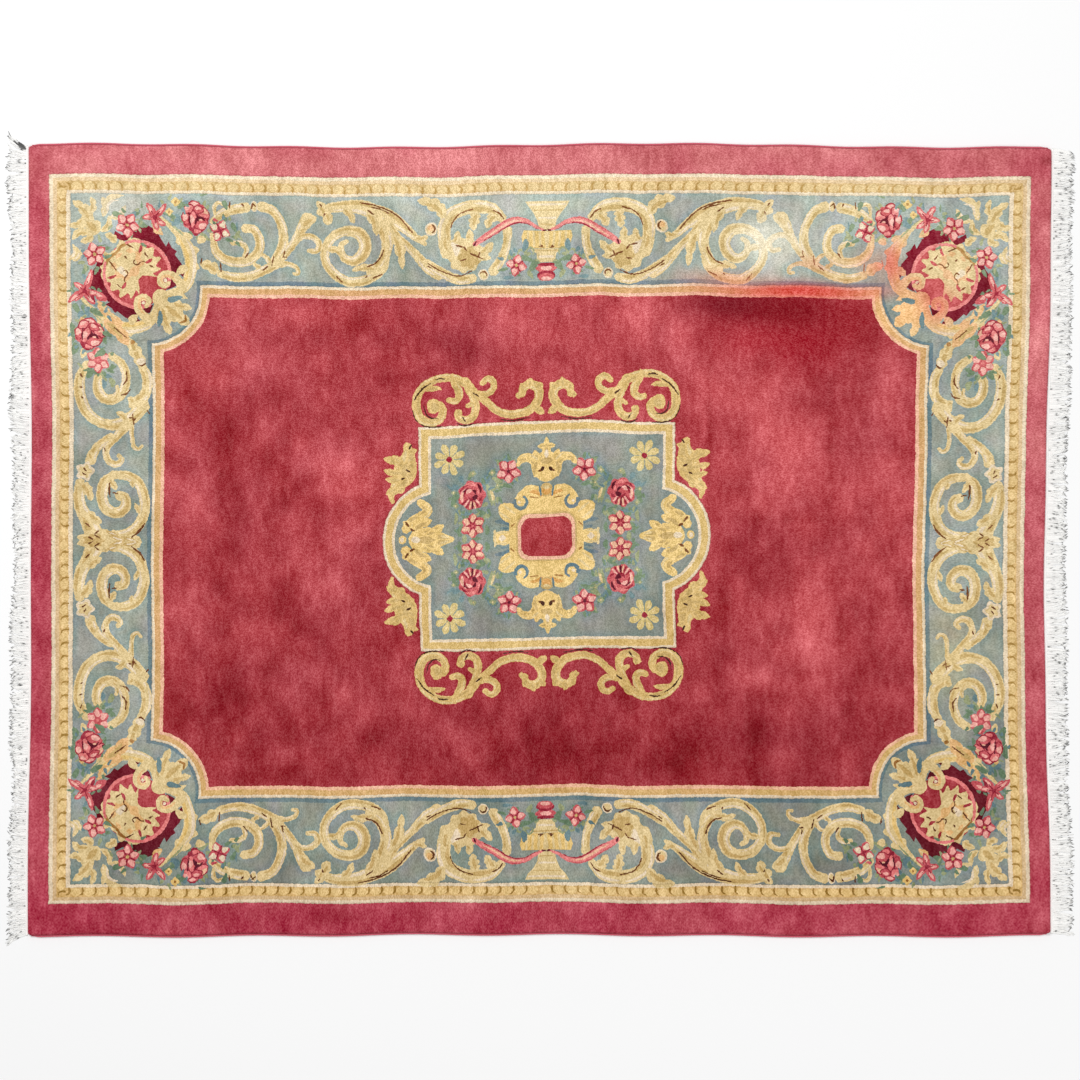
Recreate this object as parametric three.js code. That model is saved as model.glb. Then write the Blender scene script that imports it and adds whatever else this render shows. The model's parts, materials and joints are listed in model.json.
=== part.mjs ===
// A hand-knotted pile rug with overcast long edges and a cotton fringe on both
// short ends, lying flat. Millimetres, X along the rug, Z up, underside at Z = 0.
import * as THREE from "three";

// Driving dimensions
const LENGTH = 3562; // knotted body, end to end
const WIDTH = 2752; // knotted body, edge to edge
const THICKNESS = 14; // foundation and clipped pile together
const CORNER_RADIUS = 12;
const EDGE_STEP = 58; // spacing of the points along the outline
const CORNER_STEPS = 4;
const CLEARANCE = 0.3; // between neighbouring pieces

const SELVEDGE_RADIUS = 3.5;
const SELVEDGE_SIDES = 8;

const WEB_WIDTH = 9; // woven cotton strip that the fringe grows from
const WEB_THICKNESS = 3;
const LOCKS_PER_END = 145;
const LOCK_ROOT_WIDTH = 11.5;
const LOCK_TIP_WIDTH = 4.5;
const LOCK_SECTIONS = 3; // straight stretches along one lock
const LOCK_PLAY = 3; // sideways wander of a single lock
const CORNER_SPREAD = 48; // how far the end locks splay past a corner
const SPREAD_REACH = 110; // stretch of the edge over which they splay

// The rounding of the pile at its rim: height and how far it has drawn in
const RIM = [
  { height: 0, inset: 0 },
  { height: 9.5, inset: 0 },
  { height: 12.6, inset: 1.4 },
  { height: THICKNESS, inset: 4.5 },
];

// The unevenness of each side, as waves: how far the edge swings towards +X or
// +Y, the wavelength, and where along the side the crest lies
const EDGE_WAVES = [
  { side: "back", swing: 7, wavelength: 2012, crest: 404 },
  { side: "back", swing: 2, wavelength: 350, crest: -856 },
  { side: "front", swing: 3.5, wavelength: 2625, crest: -121 },
  { side: "front", swing: 3, wavelength: 540, crest: -453 },
  { side: "left", swing: 8, wavelength: 3850, crest: 70 },
  { side: "left", swing: 2, wavelength: 980, crest: 420 },
  { side: "right", swing: 12.5, wavelength: 2754, crest: 1200 },
  { side: "right", swing: 1.5, wavelength: 610, crest: 150 },
];

// The two fringes: mean length past the web, and how unevenly it lies
const FRINGES = [
  { name: "fringe_left", side: "left", outward: -1, length: 64, uneven: 11, splay: 1, seed: 11 },
  { name: "fringe_right", side: "right", outward: 1, length: 74, uneven: 5, splay: 0.12, seed: 29 },
];

const MATERIALS = {
  pile: new THREE.MeshStandardMaterial({ color: 0x9c3442, roughness: 0.95, metalness: 0 }),
  selvedge: new THREE.MeshStandardMaterial({ color: 0x8a1f3a, roughness: 0.9, metalness: 0 }),
  cotton: new THREE.MeshStandardMaterial({ color: 0xe9e5dc, roughness: 0.9, metalness: 0 }),
};

// How far one side has swung out of its straight line at a place along it
function edgeShift(side, along) {
  let shift = 0;
  for (const wave of EDGE_WAVES) {
    if (wave.side === side) {
      shift += wave.swing * Math.cos((2 * Math.PI * (along - wave.crest)) / wave.wavelength);
    }
  }
  return shift;
}

// Takes a point of the straight rug to its place on the uneven one
function settle(x, y) {
  const acrossLength = (x + LENGTH / 2) / LENGTH;
  const acrossWidth = (y + WIDTH / 2) / WIDTH;
  const moveX = THREE.MathUtils.lerp(edgeShift("left", y), edgeShift("right", y), acrossLength);
  const moveY = THREE.MathUtils.lerp(edgeShift("front", x), edgeShift("back", x), acrossWidth);
  return new THREE.Vector2(x + moveX, y + moveY);
}

// A repeatable stream of numbers from 0 to 1
function randomStream(seed) {
  let state = seed;
  return () => {
    state = (state * 16807) % 2147483647;
    return state / 2147483647;
  };
}

// A closed solid through rings of equal size, with a flat cap on both ends
function loftedSolid(rings, capOutline) {
  const size = rings[0].length;
  const positions = rings.flat().flatMap((point) => [point.x, point.y, point.z]);
  const faces = [];
  for (let row = 0; row + 1 < rings.length; row += 1) {
    for (let i = 0; i < size; i += 1) {
      const a = row * size + i;
      const b = row * size + ((i + 1) % size);
      faces.push(a, b, b + size, a, b + size, a + size);
    }
  }
  const lastRing = (rings.length - 1) * size;
  for (const [a, b, c] of THREE.ShapeUtils.triangulateShape(capOutline, [])) {
    faces.push(a, c, b);
    faces.push(lastRing + a, lastRing + b, lastRing + c);
  }
  const geometry = new THREE.BufferGeometry();
  geometry.setAttribute("position", new THREE.Float32BufferAttribute(positions, 3));
  geometry.setIndex(faces);
  geometry.computeVertexNormals();
  return geometry;
}

// The rug's outline drawn in by an inset, anticlockwise, settled on its waves
function bodyOutline(inset) {
  const halfLength = LENGTH / 2 - inset;
  const halfWidth = WIDTH / 2 - inset;
  const radius = CORNER_RADIUS - inset / 2;
  const corners = [
    { x: halfLength - radius, y: -halfWidth + radius, start: -Math.PI / 2 },
    { x: halfLength - radius, y: halfWidth - radius, start: 0 },
    { x: -halfLength + radius, y: halfWidth - radius, start: Math.PI / 2 },
    { x: -halfLength + radius, y: -halfWidth + radius, start: Math.PI },
  ];
  const points = [];
  for (const [index, corner] of corners.entries()) {
    for (let step = 0; step <= CORNER_STEPS; step += 1) {
      const angle = corner.start + (step / CORNER_STEPS) * (Math.PI / 2);
      points.push([corner.x + radius * Math.cos(angle), corner.y + radius * Math.sin(angle)]);
    }
    const next = corners[(index + 1) % corners.length];
    const from = points[points.length - 1];
    const to = [next.x + radius * Math.cos(next.start), next.y + radius * Math.sin(next.start)];
    const pieces = Math.round((index % 2 === 0 ? WIDTH : LENGTH) / EDGE_STEP);
    for (let step = 1; step < pieces; step += 1) {
      const share = step / pieces;
      points.push([
        THREE.MathUtils.lerp(from[0], to[0], share),
        THREE.MathUtils.lerp(from[1], to[1], share),
      ]);
    }
  }
  return points.map(([x, y]) => settle(x, y));
}

// The knotted body: a flat slab whose rim is rounded over at the top
function rugBody() {
  const outlines = RIM.map((level) => bodyOutline(level.inset));
  const rings = RIM.map((level, i) =>
    outlines[i].map((point) => new THREE.Vector3(point.x, point.y, level.height)),
  );
  return loftedSolid(rings, outlines[0]);
}

// An overcast cord that runs along one long edge and lies on the floor
function selvedge(outward) {
  const halfRun = LENGTH / 2 - CORNER_RADIUS;
  const pieces = Math.round((2 * halfRun) / EDGE_STEP);
  const centreOffset = CLEARANCE + SELVEDGE_RADIUS;
  const halfSide = Math.PI / SELVEDGE_SIDES;
  const section = [];
  for (let side = 0; side < SELVEDGE_SIDES; side += 1) {
    const angle = (2 * side + 1) * halfSide;
    const reach = SELVEDGE_RADIUS / Math.cos(halfSide);
    section.push(new THREE.Vector2(reach * Math.cos(angle), reach * Math.sin(angle)));
  }
  const rings = [];
  for (let step = 0; step <= pieces; step += 1) {
    const along = -halfRun + (step / pieces) * 2 * halfRun;
    const edge = settle(along, (outward * WIDTH) / 2);
    const centreY = edge.y + outward * centreOffset;
    rings.push(
      section.map(
        (corner) => new THREE.Vector3(edge.x, centreY + corner.x, SELVEDGE_RADIUS + corner.y),
      ),
    );
  }
  return loftedSolid(rings, section);
}

// How far the locks near a corner splay outwards along the edge
function cornerSplay(along, strength) {
  const fromCorner = WIDTH / 2 - Math.abs(along);
  const share = Math.max(0, 1 - fromCorner / SPREAD_REACH);
  return Math.sign(along) * CORNER_SPREAD * strength * share * share;
}

// One lock of the fringe: its centre line, root first, as places along the
// edge and distances out from it
function lockCentreLine(along, fringe, random) {
  const drift = 7 * Math.sin(along / 97 + fringe.seed) + 5 * Math.sin(along / 41 + 2 * fringe.seed);
  const unevenness = Math.sin(along / 143 + fringe.seed) + 0.6 * Math.sin(along / 61) + 0.8 * (random() - 0.5);
  const length = fringe.length + (fringe.uneven * unevenness) / 1.6;
  const splay = cornerSplay(along, fringe.splay);
  const line = [];
  for (let section = 0; section <= LOCK_SECTIONS; section += 1) {
    const share = section / LOCK_SECTIONS;
    const wander = section === 0 ? 0 : LOCK_PLAY * (random() - 0.5);
    line.push({
      along: along + share * share * (drift + splay) + wander,
      out: WEB_WIDTH + share * length,
      width: THREE.MathUtils.lerp(LOCK_ROOT_WIDTH, LOCK_TIP_WIDTH, share),
    });
  }
  return line;
}

// A fringe: the woven web and the locks that are knotted into it, in one comb
function fringeComb(fringe) {
  const random = randomStream(fringe.seed);
  const pitch = WIDTH / LOCKS_PER_END;
  const halfWidth = WIDTH / 2;
  const comb = [];
  for (let index = 0; index < LOCKS_PER_END; index += 1) {
    const line = lockCentreLine(-halfWidth + (index + 0.5) * pitch, fringe, random);
    for (const place of line) {
      comb.push({ along: place.along - place.width / 2, out: place.out });
    }
    for (const place of line.toReversed()) {
      comb.push({ along: place.along + place.width / 2, out: place.out });
    }
  }
  const backSteps = Math.round(WIDTH / EDGE_STEP);
  for (let step = backSteps; step >= 0; step -= 1) {
    comb.push({ along: -halfWidth + (step / backSteps) * WIDTH, out: 0 });
  }
  const outline = comb.map(({ along, out }) => {
    const held = THREE.MathUtils.clamp(along, -halfWidth, halfWidth);
    const edge = settle((fringe.outward * LENGTH) / 2, held);
    const x = edge.x + fringe.outward * (CLEARANCE + out);
    return new THREE.Vector2(x, edge.y + along - held);
  });
  const shape = new THREE.Shape(outline);
  return new THREE.ExtrudeGeometry(shape, { depth: WEB_THICKNESS, bevelEnabled: false });
}

function namedMesh(name, geometry, material) {
  const mesh = new THREE.Mesh(geometry, material);
  mesh.name = name;
  return mesh;
}

// The whole rug, moved so that the origin lies under the middle of its reach
const rug = new THREE.Group();
rug.add(namedMesh("rug_body", rugBody(), MATERIALS.pile));
rug.add(namedMesh("selvedge_back", selvedge(1), MATERIALS.selvedge));
rug.add(namedMesh("selvedge_front", selvedge(-1), MATERIALS.selvedge));
for (const fringe of FRINGES) {
  rug.add(namedMesh(fringe.name, fringeComb(fringe), MATERIALS.cotton));
}
const reach = new THREE.Box3().setFromObject(rug).getCenter(new THREE.Vector3());
rug.position.set(-reach.x, -reach.y, 0);

export default rug;
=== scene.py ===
# A hand-knotted pile rug lying flat: its foundation, the cut pile in the drawing of
# its cartoon, overcast edges and a cotton fringe on both short ends.
import json
import math

import bpy
import numpy as np
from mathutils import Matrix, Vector, kdtree
from mathutils.geometry import delaunay_2d_cdt

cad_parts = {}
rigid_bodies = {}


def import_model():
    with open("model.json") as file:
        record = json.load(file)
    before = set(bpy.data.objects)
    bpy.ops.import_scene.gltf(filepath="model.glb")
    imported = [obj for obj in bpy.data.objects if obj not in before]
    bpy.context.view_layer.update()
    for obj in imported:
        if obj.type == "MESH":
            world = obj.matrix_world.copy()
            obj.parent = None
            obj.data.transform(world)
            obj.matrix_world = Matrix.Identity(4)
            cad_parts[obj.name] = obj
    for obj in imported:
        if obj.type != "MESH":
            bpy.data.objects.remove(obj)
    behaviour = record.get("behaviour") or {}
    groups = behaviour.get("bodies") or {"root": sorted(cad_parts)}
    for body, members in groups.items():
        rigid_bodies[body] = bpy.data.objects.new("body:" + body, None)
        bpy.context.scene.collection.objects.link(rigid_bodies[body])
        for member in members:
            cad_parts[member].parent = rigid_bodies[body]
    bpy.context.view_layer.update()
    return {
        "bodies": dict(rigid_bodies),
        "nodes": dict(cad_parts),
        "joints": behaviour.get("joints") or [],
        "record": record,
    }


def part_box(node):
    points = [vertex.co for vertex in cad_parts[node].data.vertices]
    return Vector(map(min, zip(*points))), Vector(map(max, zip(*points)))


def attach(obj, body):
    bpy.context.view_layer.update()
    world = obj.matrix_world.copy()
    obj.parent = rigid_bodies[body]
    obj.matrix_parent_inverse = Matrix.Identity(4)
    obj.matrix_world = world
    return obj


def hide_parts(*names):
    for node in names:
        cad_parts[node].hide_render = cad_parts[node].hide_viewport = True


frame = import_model()

# Sizes of the solids, in millimetres as in the part
LENGTH = 3562
WIDTH = 2752
THICKNESS = 14
CORNER_RADIUS = 12
CLEARANCE = 0.3
SELVEDGE_RADIUS = 3.5
WEB_WIDTH = 9
LOCKS_PER_END = 145
CORNER_SPREAD = 48
SPREAD_REACH = 110
RIM_INSETS = (0.0, 1.4, 4.5)
RIM_HEIGHTS = (9.5, 12.6, 14.0)
EDGE_WAVES = (  # side, swing, wavelength, crest
    ("back", 7, 2012, 404), ("back", 2, 350, -856),
    ("front", 3.5, 2625, -121), ("front", 3, 540, -453),
    ("left", 8, 3850, 70), ("left", 2, 980, 420),
    ("right", 12.5, 2754, 1200), ("right", 1.5, 610, 150),
)
FRINGES = (  # node, outward, length, unevenness, splay, seed
    ("fringe_left", -1, 64, 11, 1.0, 11),
    ("fringe_right", 1, 74, 5, 0.12, 29),
)
MM = 0.001
KNOT_MM = 3.5


# From the straight rug to the uneven one on the floor

def edge_shift(side, along):
    """How far a side has swung out of its straight line, at places along it."""
    shift = 0.0
    for name, swing, wavelength, crest in EDGE_WAVES:
        if name == side:
            shift = shift + swing * np.cos(2 * math.pi * (along - crest) / wavelength)
    return shift


def settle(points):
    """Points of the straight rug, in millimetres, in their place on the uneven one."""
    x, y = np.asarray(points, float).T
    right = (x + LENGTH / 2) / LENGTH
    back = (y + WIDTH / 2) / WIDTH
    move_x = (1 - right) * edge_shift("left", y) + right * edge_shift("right", y)
    move_y = (1 - back) * edge_shift("front", x) + back * edge_shift("back", x)
    return np.column_stack([x + move_x, y + move_y])


def rounded_oblong(half_length, half_width, radius, step):
    """A closed oblong with round corners, in even steps, anticlockwise."""
    turns = np.radians((0, 22.5, 45, 67.5, 90))
    points = []
    for sign_x, sign_y, start in ((1, -1, -90), (1, 1, 0), (-1, 1, 90), (-1, -1, 180)):
        angles = turns + math.radians(start)
        centre = np.array((sign_x * (half_length - radius), sign_y * (half_width - radius)))
        points.append(centre + radius * np.column_stack([np.cos(angles), np.sin(angles)]))
    ring = np.vstack(points)
    closed = []
    for start, end in zip(ring, np.roll(ring, -1, axis=0)):
        count = max(1, round(np.linalg.norm(end - start) / step))
        closed.append(start + (end - start) * np.arange(count)[:, None] / count)
    return np.vstack(closed)


def reach_shift():
    """How far the settled rug was moved so that its reach is centred."""
    outline = settle(rounded_oblong(LENGTH / 2, WIDTH / 2, CORNER_RADIUS, 29))
    low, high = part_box("rug_body")
    middle = np.array([low[0] + high[0], low[1] + high[1]]) / (2 * MM)
    return middle - (outline.min(axis=0) + outline.max(axis=0)) / 2


SHIFT = reach_shift()


def on_floor(points):
    """Straight rug places in millimetres as places in the scene, in metres."""
    return (settle(points) + SHIFT) * MM


# The cartoon: a drawing counted in knots, columns to the right and rows down. Only
# its back left quarter is drawn. The rest is that quarter turned over both middle
# lines, as such rugs are designed.
BORDER_MIDDLE = (541.0, 541.5)  # column and row of the middle of frame and borders
MEDALLION_MIDDLE = (545.3, 537.5)  # the medallion was knotted a little off it
BAND_FULLNESS = 1.14  # how much wider than its middle line's table a band is drawn
STITCH = 1.5  # spacing of the points along an outline
SOFT_LEAF = 0.5  # how blunt a leaf's outline is
DIAGONAL = 136.0  # row less column, along the diagonal of the corner motif

# Half lengths and half widths of the frame lines, from the middle, in knots
GUARD = (488.4, 363.5)
GUARD_LAYERS = (  # wool, and how far in from the guard's outer line, along and across
    ("cream", 0.0, 0.0),
    ("sand", 4.0, 3.5),
    ("guard", 7.8, 7.0),
    ("cream", 17.0, 16.2),
    ("ground", 21.4, 19.4),
)
BEAD_PITCH = 13.0
BEAD = (5.4, 3.9)  # half sizes
BEAD_INSETS = (11.7, 12.6)  # how far in the beads of the long and the short sides lie
BEAD_END = 14  # the stretch at a corner that has none
HOOK = ((0.1, -4.2), (-0.4, -1.4), (0.2, 1.0), (1.8, 2.4), (3.4, 2.7))  # along, outwards
HOOK_WIDTHS = (1.7, 2.1, 2.1, 1.6, 0.8)
FIELD = (388.5, 256.0)
FIELD_CORNER = (391.0, 249.5)  # middle of the disc that bites off the field's corner
FIELD_BITE = 51.5
FIELD_LAYERS = (  # wool, how far in on the straights, and on the bite
    ("slate_line", -4.2, -3.0),
    ("cream", 0.0, 0.0),
    ("stripe", 3.0, 2.6),
    ("blush_cream", 8.6, 7.4),
    ("field", 12.0, 10.2),
)
DESIGN_SLIP = 4.3  # how far towards +X the middle of the design was knotted
DESIGN_SLIP_GROWTH = 3.2  # and how much more than that at the long edges
MEDALLION = (128.3, 112.3)
MEDALLION_LOBE = (105.0, 0.0)  # middle of the round lobe on each short side
LOBE_RADIUS = 59.6
MEDALLION_LAYERS = (("cream", 0.0), ("medallion_gold", 2.6), ("cream", 9.3), ("medallion_ground", 12.1))


def turned(points, angle):
    """Points turned about the origin, clockwise as the cartoon is seen."""
    cosine, sine = math.cos(angle), math.sin(angle)
    points = np.asarray(points, float)
    return points @ np.array([[cosine, sine], [-sine, cosine]])


def resampled(line, step=STITCH):
    """The same line in even steps."""
    steps = np.linalg.norm(np.diff(line, axis=0), axis=1)
    along = np.concatenate([[0.0], np.cumsum(steps)])
    count = max(3, round(along[-1] / step) + 1)
    marks = np.linspace(0.0, along[-1], count)
    return np.column_stack([np.interp(marks, along, line[:, axis]) for axis in (0, 1)])


def straight(start, end, step=STITCH):
    """A straight line in even steps."""
    return resampled(np.array([start, end], float), step)


def smooth_line(points, step=STITCH):
    """A smooth line through a few points."""
    points = np.asarray(points, float)
    ends = np.vstack([2 * points[0] - points[1], points, 2 * points[-1] - points[-2]])
    share = np.linspace(0.0, 1.0, 12, endpoint=False)[:, None]
    pieces = []
    for a, b, c, d in zip(ends, ends[1:], ends[2:], ends[3:]):
        bend = 2 * a - 5 * b + 4 * c - d
        twist = 3 * b - a - 3 * c + d
        pieces.append(b + 0.5 * share * ((c - a) + share * (bend + share * twist)))
    return resampled(np.vstack([*pieces, points[-1:]]), step)


def arc(centre, radii, degrees, step=STITCH):
    """An arc or spiral about a centre; degrees run clockwise from the right."""
    angles = np.radians(np.linspace(degrees[0], degrees[1], 48))
    reach = np.linspace(radii[0], radii[1], 48)
    line = np.column_stack([np.cos(angles), np.sin(angles)]) * reach[:, None]
    return resampled(line + np.asarray(centre, float), step)


def oval(centre, across, tall, turn=0.0, wave=0.0, waves=5):
    """A closed oval with half sizes across and tall, its edge a little wavy."""
    count = max(8, round(2 * math.pi * max(across, tall) / STITCH))
    angles = np.arange(count) * 2 * math.pi / count
    reach = 1 + wave * np.cos(waves * angles)
    ring = np.column_stack([across * np.cos(angles), tall * np.sin(angles)]) * reach[:, None]
    return turned(ring, math.radians(turn)) + np.asarray(centre, float)


def ribbon(line, widths, low=-0.5, high=0.5, span=(0.0, 1.0), round_ends=True):
    """The outline of a band along a line. Widths are spaced evenly along it. Low and
    high cut a strip out of the band, and span a stretch, both in shares of it."""
    steps = np.linalg.norm(np.diff(line, axis=0), axis=1)
    along = np.concatenate([[0.0], np.cumsum(steps)])
    share = along / along[-1]
    width = np.interp(share, np.linspace(0.0, 1.0, len(widths)), widths)
    heading = np.gradient(line, axis=0)
    heading /= np.maximum(np.linalg.norm(heading, axis=1), 1e-6)[:, None]
    side = np.column_stack([-heading[:, 1], heading[:, 0]])
    kept = (share >= span[0]) & (share <= span[1])
    if kept.sum() < 2:
        kept[:] = True
    lower, upper = np.full(len(line), low), np.full(len(line), high)
    if not round_ends:
        inner = (share[kept] - span[0]) / (span[1] - span[0])
        swell = np.sin(np.pi * np.clip(inner, 0.02, 0.98)) ** 0.6
        middle = (low + high) / 2
        lower[kept] = middle + (low - middle) * swell
        upper[kept] = middle + (high - middle) * swell
    near = (line + side * (width * lower)[:, None])[kept]
    far = (line + side * (width * upper)[:, None])[kept]
    if not round_ends:
        return np.vstack([near, far[::-1]])
    half = np.radians((-60, 0, 60))
    caps = []
    for index, outward in ((-1, 1.0), (0, -1.0)):
        radius = width[kept][index] / 2
        at, ahead, across = line[kept][index], heading[kept][index], side[kept][index]
        bulge = [at + radius * outward * (math.cos(a) * ahead + math.sin(a) * across) for a in half]
        caps.append(np.array(bulge))
    return np.vstack([near, caps[0], far[::-1], caps[1]])


def leaf_outline(base, tip, width, lobes=3, bend=0.0, bite=0.4):
    """An acanthus leaf from its base to its tip. Each lobe leans towards the tip, and
    bend bows the leaf to its right, in shares of its length."""
    base, tip = np.asarray(base, float), np.asarray(tip, float)
    length = np.linalg.norm(tip - base)
    ahead = (tip - base) / length
    aside = np.array([-ahead[1], ahead[0]])
    share = np.linspace(0.0, 1.0, max(8, round(length / 1.1)))
    spine = base + np.outer(share * length, ahead) + np.outer(4 * bend * length * share * (1 - share), aside)
    body = np.sin(np.pi * share**0.8) ** SOFT_LEAF
    lobe = np.sin(np.pi * (share * lobes % 1.0) ** 1.4) ** 0.6
    half = width / 2 * np.maximum(body * (1 - bite + bite * lobe), 0.14)
    return np.vstack([spine + half[:, None] * aside, (spine - half[:, None] * aside)[::-1]])


class Cartoon:
    """The shapes of the quarter, each painted over the ones before it."""

    def __init__(self, middle):
        self.middle = middle
        self.shapes = []

    def quarter(self, shift):
        """Its shapes as distances out from the middle lines, in painting order."""
        shapes = []
        for wool, outline in self.shapes:
            u, v = (np.array(self.middle) - outline).T
            shapes.append((wool, np.column_stack([u + shift(u, v), v])))
        return shapes

    def paint(self, wool, outline):
        """A closed shape of one wool, over all before it."""
        self.shapes.append((wool, np.asarray(outline, float)))

    def ovals(self, rows):
        """Ovals one over another: the wool of each, and what oval takes."""
        for wool, *shape in rows:
            self.paint(wool, oval(*shape))

    def stroke(self, wool, points, widths):
        """A stroke along the smooth line through a few points."""
        self.paint(wool, ribbon(smooth_line(points), widths))

    def strokes(self, wool, swell, rows):
        """Strokes: the breadth and points of each, and shares of the breadth along them."""
        for width, points in rows:
            self.stroke(wool, points, [width * share for share in swell])

    def both(self, wool, outline):
        """A shape of the corner motif and its image over the diagonal."""
        outline = np.asarray(outline, float)
        self.paint(wool, outline)
        self.paint(wool, mirrored_over_diagonal(outline))

    def band(self, widths, points, shade=1, wools=("straw", "gold", "cream")):
        """A scroll band: pale wool with a deeper and a lighter strip along it."""
        line = smooth_line(points)
        widths = BAND_FULLNESS * np.array(widths, float)
        body, deep, light = wools
        self.paint(body, ribbon(line, widths))
        strips = (
            (deep, 0.10, 0.40, (0.06, 0.50)), (deep, 0.02, 0.36, (0.55, 0.97)),
            (light, -0.42, -0.20, (0.10, 0.62)), (light, -0.36, -0.14, (0.66, 0.96)),
        )
        for wool, low, high, span in strips:
            low, high = (low, high) if shade > 0 else (-high, -low)
            self.paint(wool, ribbon(line, widths, low, high, span, round_ends=False))

    def bands(self, rows, wools=("straw", "gold", "cream")):
        """Scroll bands: the widths along each, its deeper side, and its points."""
        for widths, shade, points in rows:
            self.band(widths, points, shade, wools)

    def leaf(self, base, tip, width, lobes=3, bend=0.0, wools=("straw", "gold")):
        """An acanthus leaf with a deeper middle."""
        base, tip = np.asarray(base, float), np.asarray(tip, float)
        body, deep = wools[:2]
        self.paint(body, leaf_outline(base, tip, width, lobes, bend))
        inner = base + 0.12 * (tip - base), base + 0.75 * (tip - base)
        self.paint(deep, leaf_outline(*inner, width * 0.34, lobes, bend, 0.2))

    def leaves(self, rows, wools=("straw", "gold")):
        """Leaves: the base, tip, width, number of lobes and bow of each."""
        for row in rows:
            self.leaf(*row, wools)

    def veins(self, marks, width=1.3, wool="brown"):
        """Short dark strokes, each from one point to another."""
        for start, end in marks:
            self.paint(wool, ribbon(straight(start, end, 1.2), (width, width * 1.3, width * 0.7)))

    def leaflets(self, rows):
        """Small plain leaves: middle, half length, half breadth, turn and wool."""
        for centre, long, broad, turn, wool in rows:
            self.paint(wool, oval(centre, long, broad, turn, 0.12, 3))

    def foliage(self, centre, reach, count):
        """Small leaves strewn round a cluster of flowers."""
        rng = np.random.default_rng(round(centre[0] * 31 + centre[1]))
        for _ in range(count):
            angle = rng.uniform(0, 2 * math.pi)
            out = rng.uniform(0.6, 1.05)
            way = np.array((reach[0] * math.cos(angle), reach[1] * math.sin(angle)))
            wool = ("green", "teal", "sage", "green")[rng.integers(4)]
            turn = math.degrees(angle) + rng.uniform(-60, 60)
            long, broad = rng.uniform(2.0, 4.6), rng.uniform(1.0, 2.0)
            self.paint(wool, oval(np.array(centre) + out * way, long, broad, turn, 0.15, 3))

    def rose(self, centre, across, tall, turn=0.0):
        """A full rose: a wavy round of pink, uneven petals and a dark heart."""
        centre = np.asarray(centre, float)
        size = (across + tall) / 2
        self.paint("rose", oval(centre, across, tall, turn, 0.07, 7))
        # wool, radius and width in shares of the rose, from and to in degrees
        petals = (
            ("blush", 0.80, 0.26, 150, 222), ("crimson", 0.60, 0.16, 172, 262),
            ("blush_pink", 0.86, 0.20, 238, 300), ("wine", 0.88, 0.16, 300, 346),
            ("blush", 0.42, 0.24, 205, 268), ("wine", 0.36, 0.18, 280, 350),
            ("crimson", 0.80, 0.16, 10, 40), ("blush_pink", 0.62, 0.14, 318, 358),
            ("wine", 0.72, 0.10, 186, 236), ("blush_cream", 0.84, 0.12, 158, 200),
            ("crimson", 0.94, 0.10, 200, 250), ("crimson", 0.34, 0.20, 60, 160),
        )
        for wool, reach, width, start, end in petals:
            ring = arc((0, 0), (reach, reach * 0.80), (start, end), 0.08) * (across, tall)
            line = resampled(turned(ring, math.radians(turn)) + centre, 1.3)
            self.paint(wool, ribbon(line, (width * size * 0.5, width * size * 1.3, width * size * 0.4)))
        strokes = (
            "blush", "crimson", "blush_cream", "wine", "blush_cream", "crimson", "blush", "crimson",
        )
        for number, wool in enumerate(strokes):
            way = turned((across, 0.0), math.radians(48 + 13 * number + turn)) * (1.0, tall / across)
            fold = straight(centre + (0.40 + 0.06 * (number % 3)) * way, centre + 0.93 * way, 1.3)
            self.paint(wool, ribbon(fold, (1.2, 2.0, 1.6)))
        heart = centre + turned((0.24 * across, 0.16 * tall), math.radians(turn))
        self.paint("wine", oval(heart, 0.24 * across, 0.17 * tall, turn - 35, 0.15, 3))

    def cabbage_rose(self, centre, across, tall, turn=0.0):
        """A rose of overlapping petals, each with a dark rim and a light crest."""
        centre = np.asarray(centre, float)
        size = np.array((across, tall))
        self.paint("rose", oval(centre, 0.92 * across, 0.92 * tall, turn, 0.08, 7))
        # middle, half sizes and shift of the crest in shares of the rose, lean in degrees,
        # wools of the petal and of its crest
        petals = (
            ((-0.66, -0.02), (0.30, 0.44), (-0.10, 0.0), 0, "rose", "blush"),
            ((0.02, 0.72), (0.42, 0.27), (0.10, 0.08), 8, "crimson", "blush_pink"),
            ((-0.14, -0.78), (0.40, 0.22), (0.0, -0.07), 0, "rose", "blush"),
            ((-0.52, -0.54), (0.34, 0.24), (-0.06, -0.08), -40, "blush_pink", "blush"),
            ((0.60, -0.30), (0.46, 0.26), (0.08, -0.10), 38, "blush_pink", "blush_cream"),
            ((0.22, -0.50), (0.36, 0.20), (-0.04, -0.07), 12, "rose", "blush"),
            ((0.42, 0.36), (0.48, 0.34), (0.10, 0.13), -24, "rose", "blush"),
            ((-0.20, 0.10), (0.25, 0.46), (-0.06, 0.0), 6, "blush_pink", "blush"),
        )
        rim = 0.95
        for place, half, shift, lean, wool, crest in petals:
            spot = centre + turned(np.array(place) * size, math.radians(turn))
            long, broad = np.array(half) * size
            self.paint("crimson", oval(spot, long + rim, broad + rim, turn + lean, 0.06, 4))
            self.paint(wool, oval(spot, long, broad, turn + lean, 0.06, 4))
            light = spot + turned(np.array(shift) * size, math.radians(turn))
            self.paint(crest, oval(light, 0.66 * long, 0.50 * broad, turn + lean, 0.10, 3))
        folds = (
            ("wine", ((0.66, 0.16), (0.42, -0.02), (0.14, 0.06), (-0.04, 0.34)), (1.4, 2.2, 3.0, 1.6)),
            ("wine", ((0.10, -0.20), (0.22, 0.0), (0.16, 0.20)), (1.2, 2.6, 1.4)),
            ("wine", ((-0.48, -0.32), (-0.44, 0.10), (-0.36, 0.46)), (0.9, 1.5, 0.9)),
            ("blush_cream", ((0.30, 0.12), (0.44, 0.12)), (1.5, 1.5)),
        )
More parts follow.
